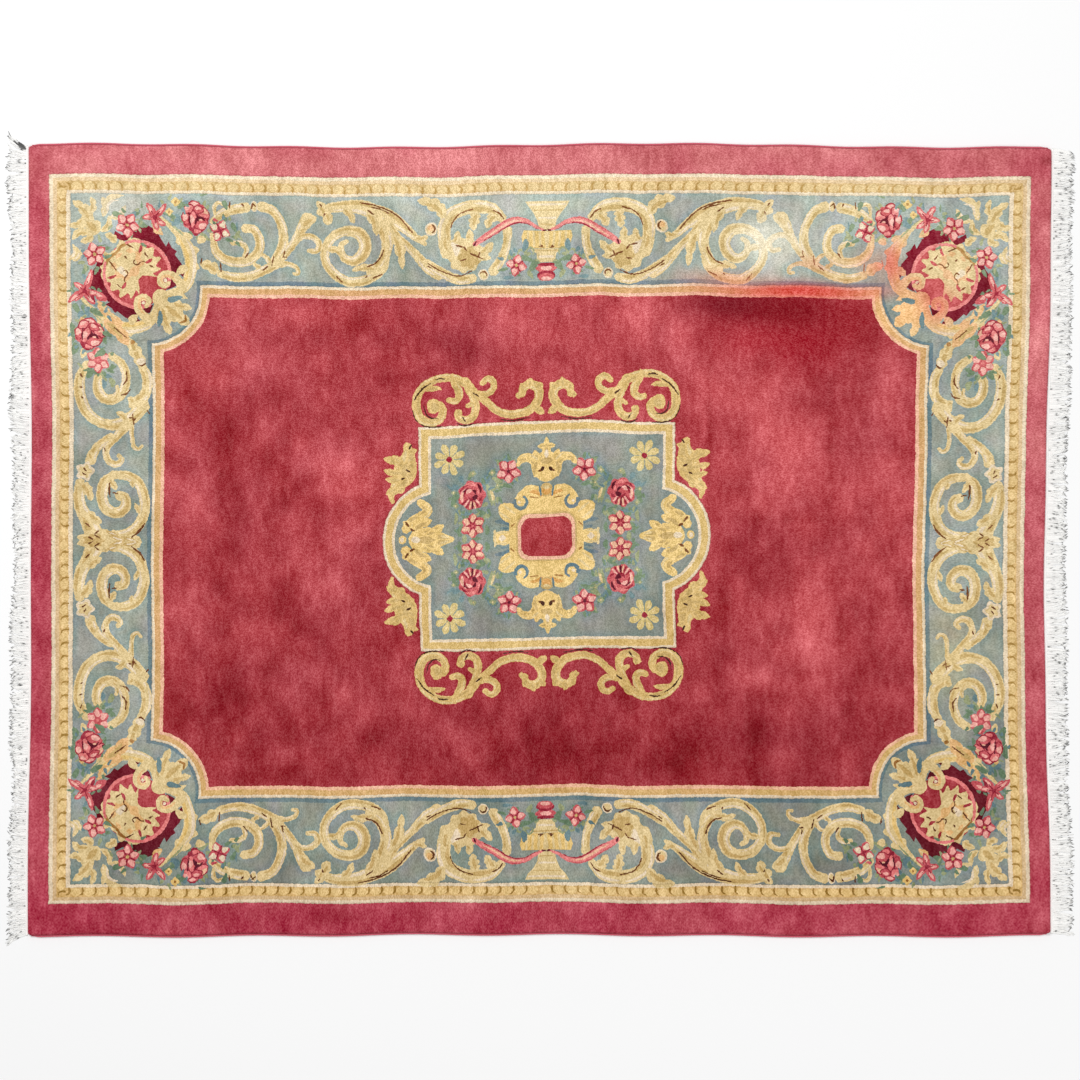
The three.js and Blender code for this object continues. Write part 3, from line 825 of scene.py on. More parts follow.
def draw_medallion(cartoon):
    """Flowers, palmettes and the centre piece inside the medallion."""
    middle = MEDALLION_MIDDLE
    # Daisy: petals parted by ground, on a red heart
    daisy = np.array((447.6, 458.3))
    for index in range(8):
        way = turned((1.0, 0.0), math.radians(22.5 + 45 * index))
        tip = daisy + (13.4 if index % 2 else 12.2) * way
        petal = straight(daisy + 3.4 * way, tip)
        cartoon.paint("daisy_straw", ribbon(petal, (2.6, 4.6, 7.0, 6.6)))
        cartoon.paint("straw", ribbon(petal, (1.0, 1.4, 2.2), -0.5, 0.5, (0.4, 1.0), False))
    cartoon.paint("crimson", oval(daisy, 3.0, 3.0, 0, 0.1, 4))
    # Garland: leaflets first, then the flowers over them
    cartoon.leaflets((
        ((488.5, 494), 2.4, 11, -14, "sage"), ((491.5, 497), 1.4, 8, -14, "straw"),
        ((486.5, 478), 2.6, 8, 20, "teal"), ((482, 484), 2.4, 6, 0, "green"),
        ((497, 480), 5, 2.4, 30, "green"), ((500, 487), 5, 2.0, -30, "sage"),
        ((506, 487), 5, 2.2, 20, "green"), ((460, 478), 4, 2.4, 60, "teal"),
        ((455, 486), 5, 2.6, 20, "teal"), ((452, 499), 2.6, 6, 10, "green"),
        ((458, 511), 4, 3, 60, "teal"), ((454.5, 517), 2.0, 6.0, 5, "sage"),
        ((481, 512), 4, 2.4, 20, "green"), ((487, 514), 2.2, 4, 0, "sage"),
        ((466, 512.5), 6, 2.0, 10, "teal"), ((463, 537), 2.2, 4, 10, "sage"),
        ((486, 529), 2.4, 5, 0, "green"), ((494, 535), 2.0, 5, 10, "sage"),
        ((475, 537.5), 5, 1.8, 0, "green"), ((505, 461), 4, 2.2, 60, "teal"),
        ((515, 482), 4, 1.8, -20, "teal"), ((463, 486), 3, 2, -30, "green"),
    ))
    for centre, reach in (
        ((470.5, 494), (22, 22)), ((507, 473), (15, 13)), ((471, 524), (17, 14)), ((490, 490), (10, 22)),
    ):
        cartoon.foliage(centre, reach, 16)
    cartoon.rose((470.5, 494.3), 13.5, 14)
    cartoon.blossom((507.3, 473), 11.5, 5, -60, ("rose", "blush", "crimson", "wine"))
    cartoon.blossom((471.6, 524.5), 11.5, 6, -90, ("rose", "blush_cream", "crimson", "rose"))
    for centre, radius in (
        ((471.6, 473.6), 3.4), ((491, 473.6), 3.8), ((452, 491), 2.6), ((454.6, 504), 3.2),
        ((496.6, 486), 2.6),
    ):
        cartoon.small_flower(centre, 0.8 * radius, ("sage", "straw"))
    draw_crown_palmette(cartoon, middle[0])
    draw_centre_piece(cartoon, middle)
    # Palmette in the side lobe: hooked arm, body with its tips, drop and eyes
    row = middle[1]
    cartoon.band((7, 8, 9, 9, 8), ((418, 500), (426, 507), (420, 514), (411, 519), (404, 527)), 1, BRIGHT)
    spine = [(column, row) for column in (417, 424, 433, 442, 450)]
    cartoon.band((20, 21, 17, 11, 5), spine, 1, BRIGHT)
    cartoon.leaves((
        ((411, 530), (430, 517.5), 13, 2, -0.1), ((419, 531), (442.5, 523), 12, 2, 0.1),
        ((424, 533), (437, 529), 8, 1, 0.0), ((409, 526), (401, 519), 8, 1, 0.1),
    ), BRIGHT)
    cartoon.paint("ground", ribbon(straight((405.6, row), (405.9, 532.5)), (3.0, 2.4, 1.2)))
    cartoon.ovals((
        ("bright_gold", (400.9, row), 3.9, 4.2), ("cream", (400.4, row), 2.0, 2.4),
        ("gold", (424, row), 9, 3.4, 0, 0.1, 5), ("cream", (414, row), 4.4, 3.0),
    ))
    cartoon.veins((((409, 526.6), (413, 528.6)), ((404, 520), (407, 524))), 1.9)


def draw_crown_palmette(cartoon, axis):
    """Half of the crown-shaped palmette over the centre piece."""
    cartoon.leaf((538, 469), (533.3, 453), 9, 1, 0.0, BRIGHT)
    curl = ((539, 474), (533.5, 464), (527, 460), (520.5, 461.5), (517, 466))
    cartoon.band((12, 9, 7.5, 7, 4), curl, -1, BRIGHT)
    cartoon.leaf((527, 462), (515.5, 462), 5, 2, 0.1, BRIGHT)
    cartoon.ovals((
        ("bright_gold", (axis, 471.5), 13.6, 12.4, 0, 0.03, 4), ("bright_gold", (axis, 457.5), 6.6, 3.4),
    ))
    cartoon.leaf((axis, 466), (axis, 441), 8.5, 1, 0.0, BRIGHT)
    cartoon.leaf((axis, 449.8), (536.4, 449.2), 5.6, 1, 0.0, BRIGHT)
    cartoon.leaf((534, 480), (530.5, 466), 6, 1, 0.1, BRIGHT)
    cartoon.ovals((
        ("gold", (axis, 463.5), 5.6, 3.0, 0, 0.1, 5), ("cream", (axis, 457), 2.0, 4.0),
        ("gold", (534.5, 469), 1.6, 4.4, 12), ("dark_brown", (541.2, 471.6), 1.9, 2.7, 25),
        ("brown", (538.6, 473.4), 1.5, 1.2),
    ))


def draw_centre_piece(cartoon, middle):
    """A quarter of the gold frame round the red centre, with curls and ears."""
    column, row = middle
    for centre, long, broad, turn in (
        ((503, 517), 10, 3.4, 60), ((514, 504), 3, 7, 30), ((500, 522), 7, 2.0, 8),
    ):
        cartoon.paint("slate", oval(centre, long, broad, turn))
    # The frame, then the curl beside the knob and the two ears, all in one gold
    gold = "bright_gold"
    cartoon.paint(gold, rounded_quarter(column, row, 37.0, 40.5, 20.0))
    curl = smooth_line(((541, 499), (534, 494.6), (526.5, 494.6), (520, 498.5), (517, 503)))
    cartoon.paint(gold, ribbon(curl, (11, 14, 14.5, 11, 8)))
    diagonal_ear = straight((522.0, 524.0), (498.0, 505.5))
    cartoon.paint(gold, ribbon(diagonal_ear, (12, 16, 20, 20), round_ends=False))
    side_ear = straight((515.0, row), (492.2, row))
    cartoon.paint(gold, ribbon(side_ear, (14, 13, 15, 16.5), round_ends=False))
    cartoon.paint("straw", ribbon(straight((493.6, row - 7.5), (493.6, row)), (2.2, 2.2)))
    hollow = ribbon(arc((520.0, 503.3), (6.0, 6.0), (-65, 200)), (2.0, 3.4, 3.8, 3.0))
    cartoon.paint("slate", hollow)
    cartoon.paint("ochre_gold", ribbon(curl, (6, 5, 3), -0.2, 0.5, (0.0, 0.5), False))
    for low, high in ((-0.34, -0.22), (0.08, 0.22)):
        cartoon.paint("straw", ribbon(diagonal_ear, (12, 17, 20), low, high, (0.35, 0.95), False))
    cartoon.paint("straw", ribbon(side_ear, (13, 14, 16), 0.30, 0.45, (0.4, 0.98), False))
    cartoon.ovals((
        ("cream", (501.0, row), 3.4, 3.0, 0, 0.1, 4), ("cream", (518.6, 503.4), 1.7, 1.6),
        ("gold", (column, 491.8), 6.6, 6.4), ("ochre_gold", (column, 492.6), 4.6, 4.0),
        ("straw", (column, 489.6), 3.0, 1.6),
    ))
    cartoon.veins((((538.4, 488.6), (539.6, 497.6)), ((499.8, 527.6), (507, 528.4))), 1.6, "slate")
    cartoon.veins((((529, 498.6), (537, 499.6)), ((513, 524), (509, 527.6))), 1.2, "ochre")
    for wool, along, across, radius in (
        ("butter", 32.0, 25.6, 13.0), ("gold", 30.2, 23.6, 12.0), ("blush_cream", 28.6, 22.0, 11.0),
        ("centre_red", 25.5, 18.9, 10.5),
    ):
        cartoon.paint(wool, rounded_quarter(column, row, along, across, radius))


def rounded_quarter(column, row, along, across, radius):
    """The back left quarter of a rounded oblong about a middle, and a knot past it."""
    corner = (column - along + radius, row - across + radius)
    bow = arc(corner, (radius, radius), (180, 270))
    over = 1.5
    return np.vstack([((column + over, row + over), (column - along, row + over)), bow,
                      ((column + over, row - across),)])


def draw_medallion_outside(cartoon):
    """Scrolls over the medallion and the leaf at its shoulder, on the red field."""
    field_wools = ("field_gold", "gold", "straw")
    cartoon.bands((
        ((5, 7, 7, 7, 7.5, 8, 8, 7, 7), -1, (
            (479, 400), (467.8, 387.4), (459.6, 381.5), (448.8, 377.5), (436.3, 377.5), (424.5, 383),
            (416.8, 393), (415.2, 405), (418, 414.5), (425, 420.3), (433, 420.5), (439.6, 416.5),
            (441.6, 409), (438.5, 404))),
        ((5, 7, 6.5, 5), 1, ((452, 382), (457.5, 391), (457, 398.5), (452.5, 401), (447.5, 399.5))),
        ((4, 6.5, 7.5, 7, 6), -1, (
            (465, 389), (472, 399.8), (474.3, 409.8), (471.5, 417.5), (465, 420.5), (458.5, 418.5),
            (456, 412.5))),
        ((5, 6, 6, 5), 1, (
            (476, 395), (485, 396.5), (492.5, 392), (492.5, 385.5), (487, 382), (481, 385.5))),
        ((7, 6.5, 6.5, 7, 7.5, 8, 8, 6), 1, (
            (478, 398), (486, 405), (494.4, 412.6), (503, 416.8), (512, 418.2), (524, 416.6), (532, 412),
            (537.6, 404), (538, 396.5), (534, 391.5), (527, 390), (522, 393.5), (521, 399))),
    ), field_wools)
    cartoon.ovals((
        ("field_gold", (432.8, 404.6), 7.2, 7.4, 0, 0.05, 3),
        ("gold", (433.6, 405.6), 4.0, 4.2, 0, 0.1, 3),
    ))
    cartoon.leaves((
        ((424, 389), (441, 388), 6, 1, -0.1), ((458, 409), (457, 417), 7, 1, 0.0),
        ((472, 404), (464, 408), 6, 2, 0.0), ((528, 393), (530, 383.5), 8, 1, 0.0),
        ((535, 395), (541.5, 388.5), 8, 1, 0.0), ((523, 395), (519.5, 388.5), 7, 1, 0.0),
        ((533, 411), (543.5, 418), 8, 1, 0.0), ((517, 397), (518, 403), 6, 1, 0.0),
        ((470, 385), (461, 379), 6, 1, 0.0), ((444, 379), (452, 373.5), 6, 1, 0.2),
    ), field_wools)
    cartoon.strokes("dark_brown", (0.7, 1.4, 0.7), (
        (1.3, ((413, 397.5), (420, 388), (429.5, 381.5))),
        (1.3, ((434, 378.2), (439.5, 377.2), (444, 378.2))), (1.4, ((472, 394.5), (477.5, 398.5))),
        (1.2, ((418, 421.5), (426, 425), (440, 425.5))), (1.2, ((455, 422.5), (462, 426), (472, 424.5))),
        (1.0, ((500, 422.5), (514, 424), (530, 421.5))),
        (1.1, ((436, 416.5), (430, 416.5), (424.5, 412), (422.5, 404))), (1.2, ((461, 417), (464, 422))),
        (1.0, ((411, 408), (413, 415), (417, 421))),
    ))
    # Leaf at the shoulder: its spine, then the tips that part from it
    spine = ((390.6, 500), (389.5, 492), (395, 484), (401, 474), (404.6, 463), (407, 452), (405.6, 444))
    cartoon.band((3, 7, 12, 20, 20, 13, 7), spine, 1, field_wools)
    cartoon.leaves((
        ((404, 465), (382, 455), 10, 2, 0.06), ((404, 471), (382, 467), 9, 2, -0.06),
        ((401, 478), (384, 476), 8, 1, 0.0), ((396, 486), (384.4, 491.5), 7, 1, 0.1),
        ((407, 450), (415.6, 447.4), 6, 1, 0.0), ((400, 461), (391, 452.5), 7, 1, 0.0),
        ((405, 466), (415, 460), 9, 1, 0.0), ((403, 476), (414.6, 470), 9, 1, 0.0),
        ((396, 490), (403, 484), 7, 1, 0.0),
    ), field_wools)
    cartoon.paint("gold", oval((403, 468), 3, 7, 10, 0.1, 5))
    cartoon.veins((
        ((405, 467.8), (408.4, 469.6)), ((399.8, 476.8), (402.8, 475.8)), ((408, 446), (410, 442.6)),
    ), 1.7, "dark_brown")


def fourfold(quarter):
    """A closed outline from its quarter, which runs from the middle of a long side round to
    the middle of a short one: points (u, v), both out from the middle."""
    quarter = np.asarray(quarter, float)
    return np.vstack([quarter, (quarter * (1, -1))[::-1], -quarter, (quarter * (-1, 1))[::-1]])


def oblong(half_length, half_width):
    """A plain oblong about the middle, its sides in even steps."""
    corner = (half_length, half_width)
    return fourfold(np.vstack([straight((0, half_width), corner), straight(corner, (half_length, 0))[1:]]))


def bitten_oblong(half_length, half_width, bite):
    """The field's outline: an oblong whose corners are bitten off by a disc."""
    out, up = half_length - FIELD_CORNER[0], half_width - FIELD_CORNER[1]
    first = math.atan2(up, -math.sqrt(bite**2 - up**2)) % (2 * math.pi)
    last = math.atan2(-math.sqrt(bite**2 - out**2), out) % (2 * math.pi)
    bow = arc(FIELD_CORNER, (bite, bite), (math.degrees(first), math.degrees(last)))
    long_side, short_side = straight((0, half_width), bow[0]), straight(bow[-1], (half_length, 0))
    return fourfold(np.vstack([long_side, bow[1:-1], short_side]))


def lobed_oblong(half_length, half_width, radius):
    """The medallion's outline: an oblong with a round lobe on each short side."""
    out = half_length - MEDALLION_LOBE[0]
    rise = math.sqrt(radius**2 - out**2)
    corner = (half_length, half_width)
    bow = arc(MEDALLION_LOBE, (radius, radius), (math.degrees(math.atan2(rise, out)), 0))
    side = straight(corner, (half_length, rise))
    return fourfold(np.vstack([straight((0, half_width), corner), side[1:-1], bow]))


def guard_beads():
    """One quarter of the guard's rows of beads: a light bead and a dark hook in turn."""
    bead = oval((0.0, 0.0), *BEAD, 0, 0.05, 4)
    hook = ribbon(smooth_line(HOOK), HOOK_WIDTHS)
    shapes = []
    for axis, inset in enumerate(BEAD_INSETS):
        across = GUARD[1 - axis] - inset
        for index in range(int((GUARD[axis] - BEAD_END) / BEAD_PITCH + 0.5)):
            place = (index + 0.5) * BEAD_PITCH
            pair = (("bead", bead, place), ("guard_mark", hook, place + BEAD_PITCH / 2))
            for wool, outline, along in pair:
                outline = outline + (along, across)
                shapes.append((wool, outline if axis == 0 else outline[:, ::-1]))
    return shapes


def border_shift(u, v):
    """How far the design was knotted towards +X of the true middle, in knots: most on the
    middle line, and more towards the long edges."""
    strength = DESIGN_SLIP + DESIGN_SLIP_GROWTH * np.minimum(np.abs(v) / GUARD[1], 1.0) ** 2
    return strength * np.cos(np.pi * u / (2 * GUARD[0])) ** 2


def border_quarter():
    """All shapes of one quarter of the border."""
    cartoon = Cartoon(BORDER_MIDDLE)
    draw_border_of_long_side(cartoon)
    draw_border_of_short_side(cartoon)
    draw_corner(cartoon)
    return cartoon.quarter(border_shift)


def medallion_quarter():
    """All shapes of one quarter of the medallion."""
    cartoon = Cartoon(MEDALLION_MIDDLE)
    draw_medallion(cartoon)
    draw_medallion_outside(cartoon)
    return cartoon.quarter(lambda u, v: 0.0)


# Wools: display colour at the front edge of the rug, where it is rich, and at the back
# edge, where it has faded, and the kind. Kinds are parted by a carved line.
RED, GOLD, BLUE, BLOOM = range(4)  # red ground, pale and gold, blue ground, flowers and leaves
WOOLS = {
    "margin": ((174, 64, 79), (206, 112, 116), RED),
    "field": ((150, 46, 54), (192, 80, 85), RED),
    "centre_red": ((156, 52, 58), (184, 72, 76), RED),
    "wine_ground": ((92, 18, 30), (136, 34, 50), RED),
    "rose_ground": ((154, 50, 58), (206, 98, 98), RED),
    "cream": ((219, 198, 169), (236, 218, 188), GOLD),
    "sand": ((202, 170, 127), (228, 200, 158), GOLD),
    "guard": ((204, 166, 106), (214, 182, 127), GOLD),
    "bead": ((220, 186, 126), (228, 200, 146), GOLD),
    "guard_mark": ((148, 112, 50), (194, 158, 96), GOLD),
    "stripe": ((204, 166, 106), (216, 166, 118), GOLD),
    "blush_cream": ((222, 172, 138), (240, 190, 166), GOLD),
    "medallion_gold": ((206, 172, 108), (224, 194, 128), GOLD),
    "bright_gold": ((220, 184, 116), (242, 212, 144), GOLD),
    "straw": ((212, 186, 134), (230, 207, 156), GOLD),
    "gold": ((190, 158, 100), (208, 180, 122), GOLD),
    "field_gold": ((206, 172, 108), (226, 194, 130), GOLD),
    "butter": ((214, 178, 108), (234, 204, 136), GOLD),
    "daisy_straw": ((204, 180, 118), (222, 202, 142), GOLD),
    "ochre_gold": ((208, 152, 84), (222, 172, 104), GOLD),
    "ochre": ((146, 98, 48), (192, 148, 90), GOLD),
    "peach": ((214, 168, 110), (236, 192, 144), GOLD),
    "brown": ((92, 50, 26), (136, 86, 50), GOLD),
    "dark_brown": ((60, 32, 24), (84, 52, 38), GOLD),
    "ground": ((137, 137, 124), (182, 184, 170), BLUE),
    "medallion_ground": ((131, 132, 121), (164, 164, 151), BLUE),
    "slate": ((104, 118, 118), (134, 142, 146), BLUE),
    "slate_line": ((106, 118, 117), (138, 147, 148), BLUE),
    "teal": ((92, 116, 120), (136, 160, 160), BLOOM),
    "green": ((96, 118, 92), (138, 156, 124), BLOOM),
    "sage": ((136, 142, 104), (174, 178, 138), BLOOM),
    "rose": ((186, 80, 86), (216, 112, 112), BLOOM),
    "blush": ((226, 160, 148), (244, 190, 176), BLOOM),
    "blush_pink": ((216, 116, 114), (232, 144, 138), BLOOM),
    "crimson": ((140, 36, 52), (168, 56, 70), BLOOM),
    "wine": ((84, 22, 36), (112, 38, 50), BLOOM),
}
WOOL_NAMES = list(WOOLS)
KINDS = np.array([WOOLS[name][2] for name in WOOL_NAMES])

# The net of knots, in knots from the rug's middle
BODY_HALF = (LENGTH / 2 / KNOT_MM, WIDTH / 2 / KNOT_MM)
DESIGN_SHIFT = (0.8, -1.0)  # the border's middle off the body's
GUARD_SHIFT = (0.1, 1.1)
MEDALLION_SHIFT = (9.0, 2.6)
MEDALLION_TURN = math.radians(0.78)
MEDALLION_BOW = 4.0  # how far its back edge bows outwards
RAGGED = 0.42  # how far an outline strays at each stitch
BESIDE = 0.35  # how far beside an outline its two wools are looked up
RIM_STEP = 3.0  # spacing and corner radius of the points along the rim
RIM_ROWS = (0.4, 1.29, 3.0)  # how far in the rows of points along the rim lie
RIM_CLEAR = 3.4  # no other extra points lie nearer to the rim
CARVED_ROWS = ((1.5, 1.25), (3.4, 2.4))  # points beside carved edges: distance and spacing
GRID = 5.0  # spacing of the points on plain ground
GRID_CELL = 3.2  # and the room that each of them needs
BORDER_INNER = (FIELD[0] - 56.0, FIELD[1] - 56.0)  # where the border's short runs end
CUT_BEYOND = 6.0  # how far the cuts between its runs go past it

# Heights, in millimetres
GROOVE = 1.9  # depth of the carved outlines
GROOVE_WIDTH = 1.15  # in knots
PILE_FOOT = 3.0  # top of the foundation


def border_image(outline, signs):
    """One of the four images of a quarter's outline, on the straight rug."""
    slip = border_shift(*outline.T)
    return outline * signs + np.array(DESIGN_SHIFT) + np.column_stack([slip, np.zeros(len(slip))])


def on_medallion(outline):
    """A medallion outline as it was knotted: bowed, turned a little and off the middle."""
    u, v = outline.T
    share = np.cos(np.clip(u / MEDALLION[0], -1.0, 1.0) * math.pi / 2)
    bow = MEDALLION_BOW * np.clip(v / MEDALLION[1], 0.0, 1.4) * share
    return turned(np.column_stack([u, v + bow]), MEDALLION_TURN) + np.array(MEDALLION_SHIFT)


def all_shapes():
    """Every shape of the rug in painting order, as (wool, outline) in knots on the straight
    rug, and the numbers of the outlines that part the pile into its areas."""
    shapes = [("margin", rounded_oblong(*BODY_HALF, CORNER_RADIUS / KNOT_MM, RIM_STEP))]
    areas = []
    images = ((-1, 1), (1, 1), (-1, -1), (1, -1))
    for wool, along, across in GUARD_LAYERS:
        if along == 0.0 or wool == "ground":
            areas.append(len(shapes))
        shapes.append((wool, oblong(GUARD[0] - along, GUARD[1] - across) + np.array(GUARD_SHIFT)))
    beads = guard_beads()
    for signs in images:
        shapes += [(wool, outline * signs + np.array(GUARD_SHIFT)) for wool, outline in beads]
    for wool, straight_in, bite_in in FIELD_LAYERS:
        if straight_in == 0.0:
            areas.append(len(shapes))
        outline = bitten_oblong(FIELD[0] - straight_in, FIELD[1] - straight_in, FIELD_BITE + bite_in)
        shapes.append((wool, outline + np.array(DESIGN_SHIFT)))
    border = border_quarter()
    shapes += [(wool, border_image(outline, signs)) for wool, outline in border for signs in images]
    for wool, inward in MEDALLION_LAYERS:
        if inward == 0.0:
            areas.append(len(shapes))
        outline = lobed_oblong(MEDALLION[0] - inward, MEDALLION[1] - inward, LOBE_RADIUS - inward)
        shapes.append((wool, on_medallion(outline)))
    medallion = medallion_quarter()
    shapes += [(wool, on_medallion(outline * signs)) for wool, outline in medallion for signs in images]
    return shapes, areas


def last_holder(points, outlines):
    """For each point the number of the last outline that winds round it, or -1."""
    order = np.argsort(points[:, 1], kind="stable")
    x, y = points[order].T
    x, y = np.ascontiguousarray(x), np.ascontiguousarray(y)
    holder = np.full(len(points), -1)
    for number, outline in enumerate(outlines):
        following = np.roll(outline, -1, axis=0)
        lows = np.searchsorted(y, np.minimum(outline[:, 1], following[:, 1]))
        highs = np.searchsorted(y, np.maximum(outline[:, 1], following[:, 1]))
        first, last = lows.min(), highs.max()
        if first == last:
            continue
        turns = np.zeros(last - first, np.int16)
        for (ax, ay), (bx, by), low, high in zip(outline, following, lows, highs):
            if low == high:
                continue
            crossing = ax + (y[low:high] - ay) * ((bx - ax) / (by - ay))
            turns[low - first:high - first] += (x[low:high] < crossing) * (1 if by > ay else -1)
        holder[order[first:last][turns != 0]] = number
    return holder


def first_in_cells(points, cell, taken):
    """The points that come first in their square cell, leaving out taken cells."""
    stride = 100003  # more than there are cells along a side

    def keys(places):
        """One number for the cell of each place."""
        cells = np.floor(places / cell).astype(np.int64)
        return cells[:, 0] * stride + cells[:, 1]

    own = keys(points)
    free = ~np.isin(own, keys(taken))
    points, own = points[free], own[free]
    _, first = np.unique(own, return_index=True)
    return points[np.sort(first)]


def joined(starts, ends):
    """The points of some edges, each once, and the edges as pairs of their numbers."""
    both = np.vstack([starts, ends])
    keys = np.round(both * 1e4).astype(np.int64)
    _, first, index = np.unique(keys, axis=0, return_index=True, return_inverse=True)
    return both[first], index.reshape(2, -1).T


def border_cuts():
    """The ends of the four lines that part the border's short runs from its long ones."""
    across = (FIELD[0] - CUT_BEYOND, GUARD[0] + CUT_BEYOND)
    levels = (-BORDER_INNER[1], BORDER_INNER[1])
    return [(side * place, level) for side in (-1, 1) for level in levels for place in across]


def points_between(points, groove, aside, rng):
    """More points: along the rim, in rows beside the carved edges, and on plain ground."""
    rows = []
    for reach, spacing in CARVED_ROWS:
        beside = np.vstack([groove + way * aside for way in (-reach, reach)])
        rows.append(first_in_cells(beside, spacing, np.vstack([points, *rows])))
    body = np.array(BODY_HALF)
    rim = [rounded_oblong(*(body - inset), RIM_STEP, RIM_STEP) for inset in RIM_ROWS]
    across = np.arange(-BODY_HALF[0] + 4, BODY_HALF[0] - 3, GRID)
    up = np.arange(-BODY_HALF[1] + 4, BODY_HALF[1] - 3, GRID)
    grid = np.array(np.meshgrid(across, up)).reshape(2, -1).T
    grid = grid + rng.uniform(-0.3 * GRID, 0.3 * GRID, grid.shape)
    extra = np.vstack([*rows, first_in_cells(grid, GRID_CELL, np.vstack([points, *rows]))])
    inside = (np.abs(extra) < body - RIM_CLEAR).all(axis=1)
    return np.vstack([*rim, extra[inside]])


def turn_of(points, triangles):
    """Twice the signed area of each triangle."""
    a, b, c = (points[triangles[:, corner]] for corner in range(3))
    return (b[:, 0] - a[:, 0]) * (c[:, 1] - a[:, 1]) - (b[:, 1] - a[:, 1]) * (c[:, 0] - a[:, 0])


def net_of_knots(shapes, areas, rng):
    """A triangle net that follows every visible outline: its points, its triangles,
    the wool and the area of each triangle, and the middles of the carved edges."""
    outlines = [outline + rng.uniform(-RAGGED, RAGGED, outline.shape) for _, outline in shapes]
    outlines[0] = shapes[0][1]
    wool_of = np.array([WOOL_NAMES.index(wool) for wool, _ in shapes])
    starts = np.vstack(outlines)
    ends = np.vstack([np.roll(outline, -1, axis=0) for outline in outlines])
    owner = np.concatenate([np.full(len(outline), number) for number, outline in enumerate(outlines)])
    middle = (starts + ends) / 2
    run = ends - starts
    length = np.maximum(np.linalg.norm(run, axis=1), 1e-6)
    normal = np.column_stack([-run[:, 1], run[:, 0]]) / length[:, None]
    right, left = (
        wool_of[np.maximum(last_holder(middle + side * BESIDE * normal, outlines), 0)] for side in (-1, 1)
    )
    parting = np.isin(owner, areas + [0])
    kept = (right != left) | parting
    points, edges = joined(starts[kept], ends[kept])
    cuts = border_cuts()
    edges = np.vstack([edges, len(points) + np.arange(len(cuts)).reshape(-1, 2)])
    points = np.vstack([points, cuts])
    carved = (KINDS[right] != KINDS[left]) | (parting & (owner > 0))
    groove = middle[carved]
    points = np.vstack([points, points_between(points, groove, normal[carved], rng)])

    net = delaunay_2d_cdt([Vector(point) for point in points], [tuple(edge) for edge in edges.tolist()],
                          [], 0, 1e-5, False)
    points = np.array([(point.x, point.y) for point in net[0]])
    triangles = np.array(net[2])
    centres = points[triangles].mean(axis=1)
    holder = last_holder(centres, outlines)
    triangles, centres, holder = triangles[holder >= 0], centres[holder >= 0], holder[holder >= 0]
    backwards = turn_of(points, triangles) < 0
    triangles[backwards] = triangles[backwards][:, ::-1]
    area = last_holder(centres, [outlines[number] for number in areas]) + 1
    return points, triangles, wool_of[holder], area, groove


def distance_to(points, marks):
    """How far each point lies from the nearest mark."""
    tree = kdtree.KDTree(len(marks))
    for number, mark in enumerate(marks):
        tree.insert((mark[0], mark[1], 0.0), number)
    tree.balance()
    return np.array([tree.find((x, y, 0.0))[2] for x, y in points])


def lattice_noise(points, scale, seed):
    """Smooth noise from -1 to 1, with lumps of about the given size."""
    cells = 256
    rng = np.random.default_rng(seed)
    table = rng.uniform(-1.0, 1.0, (cells + 1, cells + 1))
    places = np.asarray(points, float) / scale + 97.3
    cell = np.floor(places).astype(int)
    share = places - cell
    share = share * share * (3 - 2 * share)
    ix, iy = cell[:, 0] % cells, cell[:, 1] % cells
    low = table[ix, iy] * (1 - share[:, 0]) + table[ix + 1, iy] * share[:, 0]
    high = table[ix, iy + 1] * (1 - share[:, 0]) + table[ix + 1, iy + 1] * share[:, 0]
    return low * (1 - share[:, 1]) + high * share[:, 1]


# Patches of the pile, each with column and row of its middle, its half sizes and its
# strength. Where the pile has faded to pink or stayed a rich crimson:
PATCH_MIDDLE = (540.2, 540.5)  # column and row of the rug's middle
FADES = (
    (545, 165, 520, 40, 0.20), (300, 160, 260, 30, 0.15), (40, 420, 12, 420, -0.5),
    (235, 320, 90, 60, -0.38), (270, 235, 130, 44, -0.3), (770, 265, 60, 36, 0.35),
    (835, 200, 90, 40, 0.2), (120, 215, 60, 40, 0.2), (1040, 165, 30, 40, -0.5), (62, 920, 60, 30, -0.4),
    (560, 720, 420, 60, -0.2), (800, 560, 130, 170, 0.3), (1040, 500, 14, 330, 0.35),
    (880, 340, 60, 60, -0.1), (560, 922, 500, 20, -0.1), (450, 330, 70, 44, -0.3),
    (760, 410, 60, 40, 0.3), (190, 540, 30, 50, 0.3), (260, 540, 30, 40, -0.25),
    (460, 345, 34, 26, -0.45), (262, 410, 30, 50, -0.35), (335, 485, 34, 24, 0.35),
    (370, 695, 54, 40, 0.4), (770, 740, 46, 36, -0.45), (668, 635, 16, 60, -0.35),
    (725, 395, 44, 22, 0.35), (792, 440, 30, 26, 0.4), (765, 545, 46, 40, -0.4), (818, 625, 28, 46, 0.45),
    (760, 685, 40, 18, 0.35), (370, 490, 40, 40, 0.25), (740, 640, 24, 60, -0.25),
    (800, 690, 50, 30, 0.3), (630, 760, 50, 24, -0.3),
)
